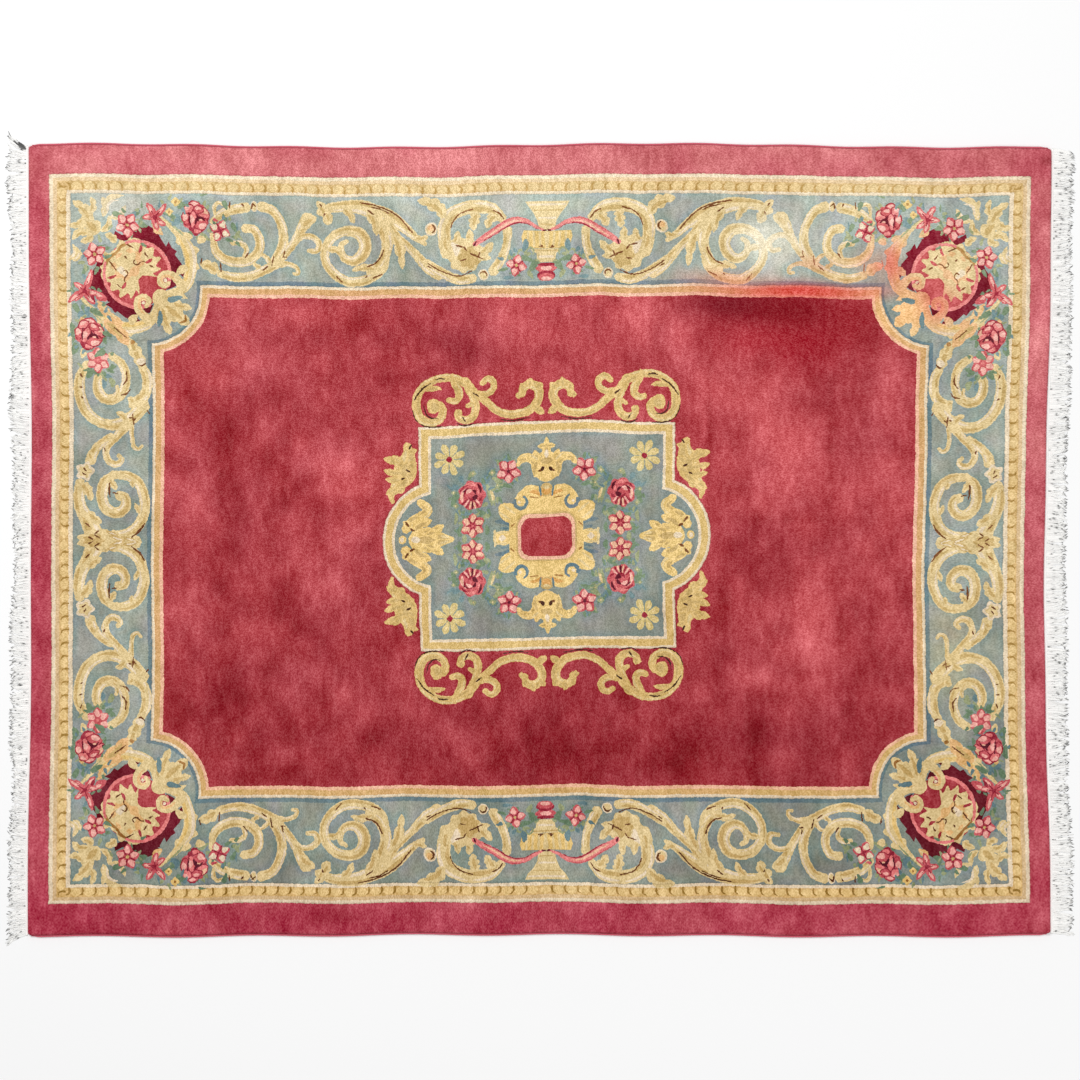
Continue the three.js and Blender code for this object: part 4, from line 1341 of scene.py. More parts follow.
# Stains and bleached places, also with the kinds of wool that took them, and their colour
TINTS = (
    (735, 306, 58, 18, 0.92, (RED,), (116, 20, 32)), (795, 312, 64, 30, 0.95, (RED,), (128, 18, 28)),
    (850, 318, 36, 30, 0.4, (RED,), (164, 40, 48)), (806, 348, 44, 26, 0.65, (RED,), (152, 26, 38)),
    (755, 340, 62, 20, 0.5, (RED,), (166, 36, 46)), (1044, 160, 6, 6, 0.55, (RED,), (128, 40, 44)),
    (800, 291, 88, 9, 1.0, (GOLD, BLUE), (214, 70, 64)),
    (722, 280, 54, 10, 0.45, (GOLD, BLUE), (222, 132, 110)),
    (762, 238, 30, 28, 0.65, (GOLD, BLUE), (252, 246, 226)),
    (786, 246, 22, 20, 0.4, (GOLD, BLUE), (246, 234, 204)),
    (889, 264, 22, 28, 0.85, (GOLD,), (218, 108, 92)), (889, 264, 20, 26, 0.35, (BLUE,), (206, 128, 112)),
    (930, 296, 16, 14, 0.6, (GOLD,), (206, 96, 90)), (812, 264, 30, 10, 0.35, (GOLD,), (206, 128, 108)),
    (936, 306, 26, 20, 0.6, (GOLD,), (216, 96, 84)), (902, 312, 34, 26, 0.9, (GOLD,), (252, 198, 138)),
    (868, 262, 24, 14, 0.35, (GOLD, BLUE), (236, 160, 130)),
    (126, 208, 34, 16, 0.5, (GOLD, BLUE), (222, 214, 200)),
    (955, 650, 24, 60, 0.3, (GOLD, BLUE), (232, 202, 140)),
)
# Painted light and shade: patches where the pile leans so that it catches more or less light, and thin dark
# lines of painted shade along fold creases
SHADES = (
    (235, 315, 34, 22, 0.5), (262, 365, 36, 44, 0.5), (335, 455, 44, 20, 0.5), (198, 505, 20, 50, 0.5),
    (350, 535, 22, 20, 0.45), (195, 590, 24, 34, 0.45), (325, 585, 28, 38, 0.45),
    (302, 680, 32, 24, 0.45), (287, 757, 9, 9, 0.5), (680, 345, 24, 30, 0.5), (740, 340, 24, 24, 0.5),
    (892, 370, 26, 36, 0.5), (780, 450, 24, 56, 0.4), (880, 450, 24, 36, 0.45), (810, 640, 24, 24, 0.45),
    (902, 620, 16, 24, 0.45), (765, 675, 12, 10, 0.4), (830, 710, 14, 24, 0.45), (480, 330, 90, 26, 0.3),
    (640, 320, 60, 20, 0.25), (355, 320, 20, 22, -0.6), (190, 405, 14, 20, -0.5),
    (278, 398, 11, 16, -0.5), (228, 435, 9, 40, -0.5), (270, 455, 13, 20, -0.5),
    (315, 510, 20, 24, -0.55), (225, 620, 14, 84, -0.5), (275, 615, 28, 40, -0.5),
    (185, 710, 20, 24, -0.5), (280, 775, 56, 18, -0.5), (725, 600, 8, 44, -0.5), (845, 630, 8, 34, -0.5),
    (755, 745, 10, 50, -0.5), (690, 755, 34, 36, -0.5), (222, 475, 3, 40, -0.6), (285, 490, 3, 24, -0.6),
    (711, 435, 3.5, 120, -0.6), (833, 440, 3.5, 74, -0.5), (800, 518, 64, 4, -0.45),
    (400, 330, 26, 40, -0.35), (860, 330, 40, 30, -0.3), (560, 750, 120, 24, -0.3),
    (440, 720, 40, 30, 0.25), (960, 160, 60, 16, -0.4), (700, 160, 50, 18, -0.3), (430, 158, 40, 14, 0.4),
    (150, 160, 40, 16, 0.3), (1040, 300, 10, 60, 0.35), (40, 520, 10, 90, -0.2), (40, 250, 12, 60, 0.4),
    (1040, 640, 10, 70, -0.4), (330, 915, 80, 12, -0.3),
)
SHADE_DEPTHS = (0.105, 0.045, 0.05, 0.04)  # how much the painted light and shade of the leaning pile shows on each kind of wool
LILAC, SAGE = (2, -2, 6), (5, 0, 3)  # what the blue ground wanders to
BLUER_AND_SHADED = (-22, -6, 4)  # and how it differs beside the motifs: a deeper blue, darkened as painted shade along the carved outlines


def patches(points, rows):
    """The sum of soft patches at points of the rug."""
    columns = points[:, 0] + PATCH_MIDDLE[0]
    lines = PATCH_MIDDLE[1] - points[:, 1]
    total = np.zeros(len(points))
    for column, line, across, tall, strength in rows:
        reach = ((columns - column) / across) ** 2 + ((lines - line) / tall) ** 2
        total += strength * np.exp(-reach * 1.4)
    return total


def shares_of(colour):
    """A display colour of 0 to 255 as shares of full strength."""
    return np.array(colour) / 255.0


def pile_colours(points, triangles, wools, nearness):
    """The colour at each corner of each triangle."""
    fade = 0.45 + 0.42 * points[:, 1] / BODY_HALF[1] + patches(points, FADES)
    fade += 0.20 * lattice_noise(points, 62, 5) + 0.26 * lattice_noise(points, 21, 6)
    # Painted light and shade of the pile: the patches where it leans and folds, and streaky clouds of it
    shade = 1.3 * patches(points, SHADES) + 0.34 * lattice_noise(points * (1.6, 1.0), 30, 7)
    shade += 0.42 * lattice_noise(points * (1.5, 0.8), 11, 8)
    rich, faded = (shares_of([WOOLS[name][age] for name in WOOL_NAMES]) for age in (0, 1))
    kind = KINDS[wools][:, None]
    share = np.clip(fade[triangles], -0.3, 1.2)
    mottle = 0.5 + 0.5 * lattice_noise(points, 3.4, 9)[triangles]
    share = np.where(kind == GOLD, share + 0.3 * (mottle - 0.5), share)
    colour = rich[wools][:, None, :] + share[..., None] * (faded - rich)[wools][:, None, :]
    depth = np.array(SHADE_DEPTHS)[KINDS[wools]][:, None]
    colour = colour + (depth * shade[triangles])[..., None]
    # The blue ground wanders to lilac and sage, and beside the motifs it is bluer and darkened with painted
    # shade along the carved outlines
    wander = lattice_noise(points, 13, 10)[triangles][..., None]
    tints = np.where(wander > 0, shares_of(LILAC), shares_of(SAGE))
    near = nearness[triangles][..., None] * (0.6 + 0.4 * lattice_noise(points, 17, 11)[triangles][..., None])
    colour = np.where((kind == BLUE)[..., None], colour + tints * wander + shares_of(BLUER_AND_SHADED) * near, colour)
    for *patch, kinds, tint in TINTS:
        taken = patches(points, [patch])[triangles] * np.isin(kind, kinds)
        colour = colour + taken[..., None] * (shares_of(tint) - colour)
    return np.clip(colour, 0.0, 1.0)


def linear(colour):
    """Display values as linear light."""
    colour = np.asarray(colour, float)
    return np.where(colour <= 0.04045, colour / 12.92, ((colour + 0.055) / 1.055) ** 2.4)


def rim_height(points):
    """The height of the pile by its distance from the rug's rounded rim."""
    beyond = np.abs(points * KNOT_MM) - (np.array((LENGTH, WIDTH)) / 2 - CORNER_RADIUS)
    outside = np.linalg.norm(np.maximum(beyond, 0.0), axis=1)
    inset = CORNER_RADIUS - outside - np.minimum(beyond.max(axis=1), 0.0)
    return np.interp(inset, RIM_INSETS, RIM_HEIGHTS)


def pile_heights(points, distance):
    """The height of the pile at each point, by its distance from the carved edges."""
    heights = rim_height(points) - GROOVE * np.exp(-((distance / GROOVE_WIDTH) ** 2))
    heights = heights + 0.18 * lattice_noise(points, 18, 31) + 0.12 * lattice_noise(points, 6, 32)
    return np.minimum(heights, THICKNESS + 0.3)


def wandered(points):
    """Straight rug places in knots, moved by the small unevenness of the knotting."""
    edge_share = np.clip((BODY_HALF - np.abs(points)) / 40.0, 0.0, 1.0).min(axis=1)[:, None]
    slow = np.column_stack([lattice_noise(points, 55, 21), lattice_noise(points, 55, 22)])
    quick = np.column_stack([lattice_noise(points, 13, 23), lattice_noise(points, 13, 24)])
    return points + edge_share * (0.6 * slow + 0.4 * quick)


def closed_loops(pairs):
    """Rim edges joined into chains that close on themselves."""
    following = {}
    for start, end in pairs.tolist():
        following.setdefault(start, []).append(end)
    loops = []
    while following:
        place = next(iter(following))
        loop = []
        while place in following:
            loop.append(place)
            ends = following[place]
            step = ends.pop()
            if not ends:
                del following[place]
            place = step
        loops.append(np.array(loop))
    return loops


def underside(flat, rim_edges):
    """Triangles that close the ring or plate between rim edges, facing down."""
    net = delaunay_2d_cdt([Vector(point) for point in flat], [tuple(pair) for pair in rim_edges.tolist()],
                          [], 0, 1e-7, True)
    origin = np.array([ids[0] for ids in net[3]])
    below = origin[np.array(net[2])]
    centres = flat[below].mean(axis=1)
    depth = np.zeros(len(below), int)
    for loop in closed_loops(rim_edges):
        depth += last_holder(centres, [flat[loop]]) >= 0
    below = below[depth % 2 == 1]
    upwards = turn_of(flat, below) > 0
    below[upwards] = below[upwards][:, ::-1]
    return below


def object_from(name, vertices, faces):
    """A mesh object from arrays of its points and its triangles."""
    mesh = bpy.data.meshes.new(name)
    mesh.vertices.add(len(vertices))
    mesh.vertices.foreach_set("co", np.asarray(vertices, np.float32).ravel())
    mesh.loops.add(faces.size)
    mesh.loops.foreach_set("vertex_index", faces.astype(np.int32).ravel())
    mesh.polygons.add(len(faces))
    mesh.polygons.foreach_set("loop_start", np.arange(0, faces.size, 3, dtype=np.int32))
    mesh.update(calc_edges=True)
    piece = bpy.data.objects.new(name, mesh)
    bpy.context.collection.objects.link(piece)
    return piece


def set_wool(piece, domain, colours):
    """Stores linear colours on the points or the corners of a piece."""
    flat = colours.reshape(-1, 3)
    layer = piece.data.attributes.new("wool", "FLOAT_COLOR", domain)
    layer.data.foreach_set("color", np.column_stack([flat, np.ones(len(flat))]).astype(np.float32).ravel())


def pile_piece(name, net, chosen, panels):
    """A closed piece of pile: its top from the net, walls to its foot, an underside."""
    used, local = np.unique(net["triangles"][chosen], return_inverse=True)
    top = local.reshape(-1, 3)
    flat = net["points"][used]
    count = len(used)
    edges = np.vstack([top[:, (0, 1)], top[:, (1, 2)], top[:, (2, 0)]])
    codes = edges[:, 0] * count + edges[:, 1]
    rim = edges[~np.isin(codes, edges[:, 1] * count + edges[:, 0])]
    rim_points, rim_index = np.unique(rim, return_inverse=True)
    rim_index = rim_index.reshape(-1, 2)
    below = underside(flat[rim_points], rim_index)
    foot = count + rim_index
    walls = np.vstack([np.column_stack([rim[:, 1], rim[:, 0], foot[:, 0]]),
                       np.column_stack([rim[:, 1], foot[:, 0], foot[:, 1]])])
    faces = np.vstack([top, walls, count + below])
    places = np.vstack([flat, flat[rim_points]])
    heights = np.concatenate([net["heights"][used], np.full(len(rim_points), PILE_FOOT)])
    piece = object_from(name, np.column_stack([on_floor(wandered(places) * KNOT_MM), heights * MM]), faces)
    piece.data.polygons.foreach_set("use_smooth", np.arange(len(faces)) < len(top))

    # Walls and underside take the mean colour of the top
    colours = np.empty((len(faces), 3, 3))
    colours[:len(top)] = net["colours"][chosen]
    colours[len(top):] = net["colours"][chosen].mean(axis=(0, 1))
    set_wool(piece, "CORNER", linear(colours))

    # Walls lie beside the top on the texture, folded outwards
    run = flat[rim[:, 1]] - flat[rim[:, 0]]
    away = np.column_stack([run[:, 1], -run[:, 0]]) / np.maximum(np.linalg.norm(run, axis=1), 1e-6)[:, None]
    outward = np.zeros((2, len(rim), 3, 2))
    outward[0, :, 2] = outward[1, :, 1] = outward[1, :, 2] = away
    spread = places[faces]
    spread[len(top):len(top) + len(walls)] += WALL_ON_TEXTURE * outward.reshape(-1, 3, 2)
    texture = texture_places(spread, panel_of(places[faces].mean(axis=1), panels), panels)
    texture[len(top) + len(walls):] = 0.005 + 0.02 * (places[count + below] / (2 * BODY_HALF[0]) + 0.5)
    layout = piece.data.uv_layers.new(name="OFBake")
    layout.uv.foreach_set("vector", texture.astype(np.float32).ravel())
    return piece


# Places on a piece's own texture: its panels stacked one above another, in knots
PANEL_GAP = 12.0
WALL_ON_TEXTURE = 2.0
TEXTURE_EDGE = 0.04  # in shares of the texture
TEXTURE_USED = 0.95


def ring_panels(outer, inner):
    """Six panels that make up a ring: its long sides in halves and its short sides.
    Each panel: middle, half sizes, and whether it is turned upright."""
    (outer_x, outer_y), (inner_x, inner_y) = outer, inner
    middle_y, half_y = (outer_y + inner_y) / 2, (outer_y - inner_y) / 2
    middle_x, half_x = (outer_x + inner_x) / 2, (outer_x - inner_x) / 2
    long_sides = [((side_x * outer_x / 2, side_y * middle_y), (outer_x / 2, half_y), False)
                  for side_y in (1, -1) for side_x in (-1, 1)]
    short_sides = [((side_x * middle_x, 0.0), (half_x, inner_y), True) for side_x in (-1, 1)]
    return long_sides + short_sides


def panel_of(centres, panels):
    """The panel that each face lies in, by how far it lies outside each of them."""
    beyond = [np.maximum(np.abs(centres - np.array(middle)) - np.array(half), 0.0).sum(axis=1)
              for middle, half, _ in panels]
    return np.argmin(np.array(beyond), axis=0)


def texture_places(corners, panel, panels):
    """Places of face corners on the texture, by the panel of each face."""
    lengths = [half[1] if upright else half[0] for _, half, upright in panels]
    breadths = [half[0] if upright else half[1] for _, half, upright in panels]
    stacked = sum(2 * breadth + PANEL_GAP for breadth in breadths)
    scale = TEXTURE_USED / max(2 * max(lengths) + PANEL_GAP, stacked)
    places = np.zeros(corners.shape)
    base = PANEL_GAP / 2
    for number, (middle, _, upright) in enumerate(panels):
        chosen = panel == number
        local = corners[chosen] - np.array(middle)
        if upright:
            local = np.stack([local[..., 1], -local[..., 0]], axis=-1)
        local = local + (lengths[number] + PANEL_GAP / 2, base + breadths[number])
        places[chosen] = TEXTURE_EDGE + scale * local
        base += 2 * breadths[number] + PANEL_GAP
    return places


# Edges: the foundation, the overcast long edges and the fringes, in millimetres
FOUNDATION_TOP = 2.9
OVERCAST_PITCH = 5.2
OVERCAST_SECTIONS = 4  # for each turn of the overcast yarn
OVERCAST_SIDES = 10
OVERCAST_DEPTH = 0.45
SELVEDGE_THINNED = 26.0  # stretch over which a cord thins out at its ends
STRANDS_PER_END = 1000
STRAND_SECTIONS = 15
STRAND_BROAD = 2.7  # half the breadth of a strand of loose yarn
STRAND_HIGH = 0.25
STRAND_ROOT = (3.0, 1.5)  # how far out and how high in the web a strand begins
# A strand's section in shares of its half breadth and height: nearly flat on top
STRAND_SECTION = ((1.0, 0.0), (0.74, 1.0), (-0.74, 1.0), (-1.0, 0.0))
STRAND_SIDES = len(STRAND_SECTION)
SOILED_SHARE = 0.62  # of the strands have a grey tip
SHADED_STRETCH_SHARE = 0.34  # of the strands have a grey stretch of painted shade, where they lie deep
DARKEST = 0.06
MARKS_PER_END = 44  # small dark marks of painted shade between the strands, and of dirt
MARK_REACH = 2.6
TUFT_REACH = 9.0
# First and last dark stretch of the yarns of the tuft at the back corner of the left end: painted shadow
# under the lifted, curled yarns, and soil
TUFT_SPANS = ((4, 7), (3, 9), (2, 10), (1, 10), (1, 9), (2, 7))
TUFT_STRANDS = len(TUFT_SPANS)
WEB_SECTIONS = 690
WEB_OUT = (0.0, 0.0, 1.5, 3.0, 4.5, 6.0, 7.5, 9.0, 9.0)
WEB_HIGH = (0.0, 2.4, 3.0, 2.7, 3.0, 2.7, 3.0, 2.2, 0.0)
WEB_RIB = 0.3
COTTON = (254, 253, 250)
COTTON_BELOW = (176, 96, 98)
CRIMSON_YARN = (202, 94, 110)


def foundation():
    """The woven cotton foundation: one flat plate under the whole pile."""
    outline = on_floor(rounded_oblong(LENGTH / 2, WIDTH / 2, CORNER_RADIUS, 12))
    count = len(outline)
    start = np.arange(count)
    following = (start + 1) % count
    below = underside(outline, np.column_stack([start, following]))
    levels = [np.column_stack([outline, np.full(count, level * MM)]) for level in (0, FOUNDATION_TOP)]
    walls = np.vstack([np.column_stack([start, following, count + following]),
                       np.column_stack([start, count + following, count + start])])
    faces = np.vstack([below, count + below[:, ::-1], walls])
    return object_from("rug_foundation", np.vstack(levels), faces)


def tube_faces(rings, sides):
    """Triangles of a closed tube whose points run ring by ring, with flat ends."""
    row, side = np.meshgrid(np.arange(rings - 1), np.arange(sides), indexing="ij")
    a = (row * sides + side).ravel()
    b = (row * sides + (side + 1) % sides).ravel()
    walls = np.vstack([np.column_stack([a, b, b + sides]), np.column_stack([a, b + sides, a + sides])])
    fan = np.arange(1, sides - 1)
    first = np.column_stack([np.zeros_like(fan), fan + 1, fan])
    last = (rings - 1) * sides
    end = np.column_stack([np.full_like(fan, last), last + fan, last + fan + 1])
    return np.vstack([walls, first, end])


def selvedge(name, outward):
    """A cord of overcast yarn along one long edge, its turns lying aslant."""
    half_run = LENGTH / 2 - CORNER_RADIUS
    rings = round(2 * half_run / OVERCAST_PITCH) * OVERCAST_SECTIONS + 1
    along = np.linspace(-half_run, half_run, rings)
    edge = settle(np.column_stack([along, np.full(rings, outward * WIDTH / 2)]))
    angles = 2 * math.pi * np.arange(OVERCAST_SIDES) / OVERCAST_SIDES
    turns = along[:, None] / OVERCAST_PITCH + 0.5 * np.sin(angles)[None, :] / 2
    ridge = np.abs(np.sin(math.pi * turns))
    radius = SELVEDGE_RADIUS + 0.1 - OVERCAST_DEPTH * (1 - ridge) ** 1.5
    thinned = np.clip((half_run - np.abs(along)) / SELVEDGE_THINNED, 0.3, 1.0)[:, None] ** 0.5
    y = edge[:, 1:2] + outward * CLEARANCE + thinned * (outward * SELVEDGE_RADIUS + radius * np.cos(angles))
    z = np.maximum(thinned * (SELVEDGE_RADIUS + radius * np.sin(angles)), 0.0)
    x = np.broadcast_to(edge[:, :1], y.shape)
    vertices = np.stack([x + SHIFT[0], y + SHIFT[1], z], axis=-1).reshape(-1, 3) * MM
    piece = object_from(name, vertices, tube_faces(rings, OVERCAST_SIDES))
    piece.data.polygons.foreach_set("use_smooth", np.ones(len(piece.data.polygons), bool))
    return piece


def corner_splay(along, strength):
    """How far the yarns near a corner splay outwards along the edge."""
    share = np.maximum(0.0, 1 - (WIDTH / 2 - np.abs(along)) / SPREAD_REACH)
    return np.sign(along) * CORNER_SPREAD * strength * share**2


def beside_end(along, out, outward):
    """Places in the scene of points beside a short end, in millimetres: along the edge,
    and out from it."""
    held = np.clip(along, -WIDTH / 2, WIDTH / 2)
    edge = settle(np.column_stack([np.full(held.size, outward * LENGTH / 2), held.ravel()]))
    x = edge[:, 0].reshape(held.shape) + outward * (CLEARANCE + out)
    y = edge[:, 1].reshape(held.shape) + along - held
    return x + SHIFT[0], y + SHIFT[1]


def strand_lines(outward, length, uneven, splay, seed):
    """Middle lines of all strands of one fringe: along the edge, out from it, height."""
    rng = np.random.default_rng(seed)
    count = STRANDS_PER_END
    root = np.linspace(-WIDTH / 2 + 2, WIDTH / 2 - 2, count) + rng.uniform(-1.2, 1.2, count)
    pitch = WIDTH / LOCKS_PER_END
    lock = np.floor((root + WIDTH / 2) / pitch)
    lock_middle = (lock + 0.5) * pitch - WIDTH / 2
    drift = 7 * np.sin(root / 97 + seed) + 5 * np.sin(root / 41 + 2 * seed)
    unevenness = np.sin(root / 143 + seed) + 0.6 * np.sin(root / 61)
    swell = uneven * (unevenness + rng.uniform(-0.5, 0.5, count)) / 1.6
    reach = length + swell + rng.uniform(-12.0, 3.0, count)
    share = np.linspace(0.0, 1.0, STRAND_SECTIONS)[None, :]
    gather = 0.35 * (lock_middle - root) + rng.normal(0.0, 3.6, count)
    curl = rng.uniform(1.0, 5.0, count)[:, None]
    lean = rng.normal(0.0, 4.0, LOCKS_PER_END)[lock.astype(int)]
    phase = rng.uniform(0, 2 * math.pi, count)[:, None]
    waves = rng.uniform(1.0, 3.2, count)[:, None]
    side = (drift + corner_splay(root, splay) + gather + lean)[:, None] * share**1.6
    side = side + curl * share**1.4 * np.sin(2 * math.pi * waves * share + phase)
    if outward < 0:
        side[-TUFT_STRANDS:] += TUFT_REACH * share
    hook = rng.normal(0.0, 6.0, count)[:, None] * np.maximum(share - 0.68, 0) ** 2 * 10
    along = root[:, None] + side + hook
    root_out, root_high = STRAND_ROOT
    out = root_out + share * (WEB_WIDTH - root_out + reach[:, None]) - np.abs(hook) * 0.5
    lift = 0.3 + 2.2 * rng.uniform(0.0, 1.0, count)[:, None] ** 6
    height = STRAND_HIGH + 0.1 + lift * np.sin(math.pi * np.minimum(share * 1.15, 1.0)) ** 0.8
    height[:, 0] = root_high
    return along, out, height


def strand_tubes(middle):
    """The points of flat tubes round the strands' middle lines, section by section."""
    heading = np.gradient(middle, axis=1)
    heading /= np.linalg.norm(heading, axis=2)[..., None]
    aside = np.cross(heading, (0.0, 0.0, 1.0))
    aside /= np.linalg.norm(aside, axis=2)[..., None]
    share = np.linspace(0.0, 1.0, STRAND_SECTIONS)
    taper = (1 - 0.35 * share - 0.5 * np.maximum(share - 0.9, 0) / 0.1)[None, :, None]
    corners = []
    for across, high in STRAND_SECTION:
        up = np.array((0.0, 0.0, STRAND_HIGH * high))
        corners.append(middle + taper * (STRAND_BROAD * across * aside + up))
    vertices = np.stack(corners, axis=2)
    vertices[..., 2] = np.maximum(vertices[..., 2], 0.05)
    return vertices.reshape(-1, 3)


def strand_tones(outward, seed):
    """How light each section of each strand is: most tips are soiled; some strands have a stretch
    of painted shade where they lie deep, and dark marks are painted shade and dirt."""
    rng = np.random.default_rng(seed + 1)
    share = np.linspace(0.0, 1.0, STRAND_SECTIONS)[None, :]
    tone = np.repeat(rng.uniform(0.84, 1.0, (STRANDS_PER_END, 1)), STRAND_SECTIONS, axis=1)
    soiled = rng.uniform(0.0, 1.0, STRANDS_PER_END)[:, None] < SOILED_SHARE
    tone -= np.where(soiled, 0.72, 0.12) * np.clip((share - 0.80) / 0.12, 0.0, 1.0)
    # A stretch of painted shade where a strand lies deep under others
    deep = rng.uniform(0.1, 0.9, STRANDS_PER_END)[:, None]
    shaded_stretch = rng.uniform(0.0, 1.0, STRANDS_PER_END)[:, None] < SHADED_STRETCH_SHARE
    tone -= np.where(shaded_stretch, 0.80, 0.0) * np.exp(-(((share - deep) / 0.05) ** 2))
    # Small dark marks: painted shade between the tangled strands, and dirt
    place = np.linspace(-WIDTH / 2, WIDTH / 2, STRANDS_PER_END)[:, None]
    for at, out in rng.uniform((-0.5, 0.3), (0.5, 0.95), (MARKS_PER_END, 2)):
        reach = ((place - at * WIDTH) / MARK_REACH) ** 2 + ((share - out) / 0.075) ** 2
        tone -= 0.8 * np.exp(-reach)
    tone = np.maximum(tone, DARKEST)
    # The tuft's dark stretches are painted shadow under its lifted yarns, and soil
    if outward < 0:
        for number, (first, last) in enumerate(TUFT_SPANS):
            tone[-1 - number, first:last] = 0.07 + 0.02 * number
    return tone


def web(outward):
    """The woven strip along a short end: a ribbed band, its ribs across it."""
    along = np.linspace(-WIDTH / 2, WIDTH / 2, WEB_SECTIONS)
    profile_out, profile_high = np.array(WEB_OUT), np.array(WEB_HIGH)
    rib = WEB_RIB * np.cos(math.pi * np.arange(WEB_SECTIONS))[:, None]
    inner = (profile_high > 0)[None, :]
    high = profile_high[None, :] + rib * inner * np.sin(math.pi * profile_out / WEB_WIDTH)[None, :]
    out = np.broadcast_to(profile_out, high.shape)
    x, y = beside_end(np.broadcast_to(along[:, None], high.shape), out, outward)
    vertices = np.stack([x, y, high], axis=-1)
    if outward > 0:
        vertices = vertices[:, ::-1]
    return vertices.reshape(-1, 3), tube_faces(WEB_SECTIONS, len(WEB_OUT))


def fringe(name, outward, length, uneven, splay, seed):
    """A woven web and the soft strands that grow from it, as one piece."""
    along, out, height = strand_lines(outward, length, uneven, splay, seed)
    x, y = beside_end(along, out, outward)
    strands = strand_tubes(np.stack([x, y, height], axis=-1))
    starts = np.arange(STRANDS_PER_END) * STRAND_SECTIONS * STRAND_SIDES
    faces = (tube_faces(STRAND_SECTIONS, STRAND_SIDES) + starts[:, None, None]).reshape(-1, 3)
    web_vertices, web_faces = web(outward)
    vertices = np.vstack([strands, web_vertices]) * MM
    piece = object_from(name, vertices, np.vstack([faces, web_faces + len(strands)]))
    tones = np.ones(len(vertices))
    tones[:len(strands)] = np.repeat(strand_tones(outward, seed).ravel(), STRAND_SIDES)
    set_wool(piece, "POINT", tones[:, None] * linear(shares_of(COTTON)))
    return piece


# Materials
TUFT_SIZE = 0.0032  # of the bumps on the pile, in metres
TUFT_RELIEF = 0.0012
STREAKS = (55.0, 18.0, 1.0)  # how many streaks of painted light and shade in the pile there are to a metre


def new_material(name, roughness, sheen):
    """A dull material, and its surface node."""
    material = bpy.data.materials.new(name)
    material.use_nodes = True
    surface = material.node_tree.nodes["Principled BSDF"]
    surface.inputs["Roughness"].default_value = roughness
    surface.inputs["Sheen Weight"].default_value = sheen
    surface.inputs["Sheen Roughness"].default_value = 0.6
    surface.inputs["Specular IOR Level"].default_value = 0.1
    return material, surface


def added(material, kind, inputs, **settings):
    """A new shader node. Each input is a value, or an output of another node."""
    node = material.node_tree.nodes.new(f"ShaderNode{kind}")
    for name, value in settings.items():
        setattr(node, name, value)
    for name, value in inputs.items():
        if isinstance(value, bpy.types.NodeSocket):
            material.node_tree.links.new(value, node.inputs[name])
        else:
            node.inputs[name].default_value = value
    return node


def noise_of_cells(material, place, size, seed):
    """A separate random value for each cell of a lattice."""
    inputs = {0: place, 1: (1 / size[0], 1 / size[1], 0.0), 2: (seed, seed * 1.7, 0.0)}
    scaled = added(material, "VectorMath", inputs, operation="MULTIPLY_ADD")
    cell = added(material, "VectorMath", {0: scaled.outputs[0]}, operation="FLOOR")
    noise = added(material, "TexWhiteNoise", {"Vector": cell.outputs[0]}, noise_dimensions="2D")
    return noise.outputs["Value"]


def pile_material():
    """Wool pile: the drawing's colour, with each knot a little different."""
    material, surface = new_material("wool_pile", 0.95, 0.03)
    wool = added(material, "Attribute", {}, attribute_name="wool")
    place = added(material, "TexCoord", {}).outputs["Object"]
    knot = KNOT_MM * MM
    stretched = added(material, "VectorMath", {0: place, 1: STREAKS}, operation="MULTIPLY")
    streak = added(material, "TexNoise", {"Vector": stretched.outputs[0], "Scale": 1.0, "Detail": 3.0})
    # The random values of knots, rows and streaks, each with its least and greatest light: knots and rows
    # differ in tone, and the streaks are painted light and shade where the pile lies unevenly and along its
    # folds
    factors = (
        (noise_of_cells(material, place, (knot, knot), 3.0), 0.78, 1.22),
        (noise_of_cells(material, place, (3.0, knot), 9.0), 0.985, 1.015),
        (streak.outputs["Fac"], 0.72, 1.28),
    )
    light = None
    for factor, low, high in factors:
        spread = added(material, "MapRange", {"Value": factor, "To Min": low, "To Max": high})
        if light is None:
            light = spread.outputs["Result"]
        else:
            both = {0: light, 1: spread.outputs["Result"]}
            light = added(material, "Math", both, operation="MULTIPLY").outputs[0]
    # What looks lighter is also paler, as painted sheen pales the lighter places
    levels = {"From Min": 0.5, "From Max": 1.5, "To Min": 1.15, "To Max": 0.85}
    paler = added(material, "MapRange", {"Value": light, **levels}).outputs["Result"]
    colour = {"Color": wool.outputs["Color"], "Value": light, "Saturation": paler}
    tuned = added(material, "HueSaturation", colour)
    tufts = added(material, "TexVoronoi", {"Vector": place, "Scale": 1 / TUFT_SIZE})
    relief = {"Height": tufts.outputs["Distance"], "Strength": 0.35, "Distance": TUFT_RELIEF}
    bump = added(material, "Bump", relief, invert=True)
    material.node_tree.links.new(tuned.outputs["Color"], surface.inputs["Base Color"])
    material.node_tree.links.new(bump.outputs["Normal"], surface.inputs["Normal"])
    return material


def yarn_material(name, roughness):
    """Loose yarn in the colours of its points."""
    material, surface = new_material(name, roughness, 0.0)
    yarn = added(material, "Attribute", {}, attribute_name="wool")
    material.node_tree.links.new(yarn.outputs["Color"], surface.inputs["Base Color"])
    return material


def plain_material(name, colour, roughness, sheen):
    """A material of one display colour."""
    material, surface = new_material(name, roughness, sheen)
    surface.inputs["Base Color"].default_value = (*linear(shares_of(colour)), 1.0)
    return material


# The pieces
NEAR_MOTIFS = 4.5  # how far the ground beside the motifs is bluer and darkened with painted shade, in knots
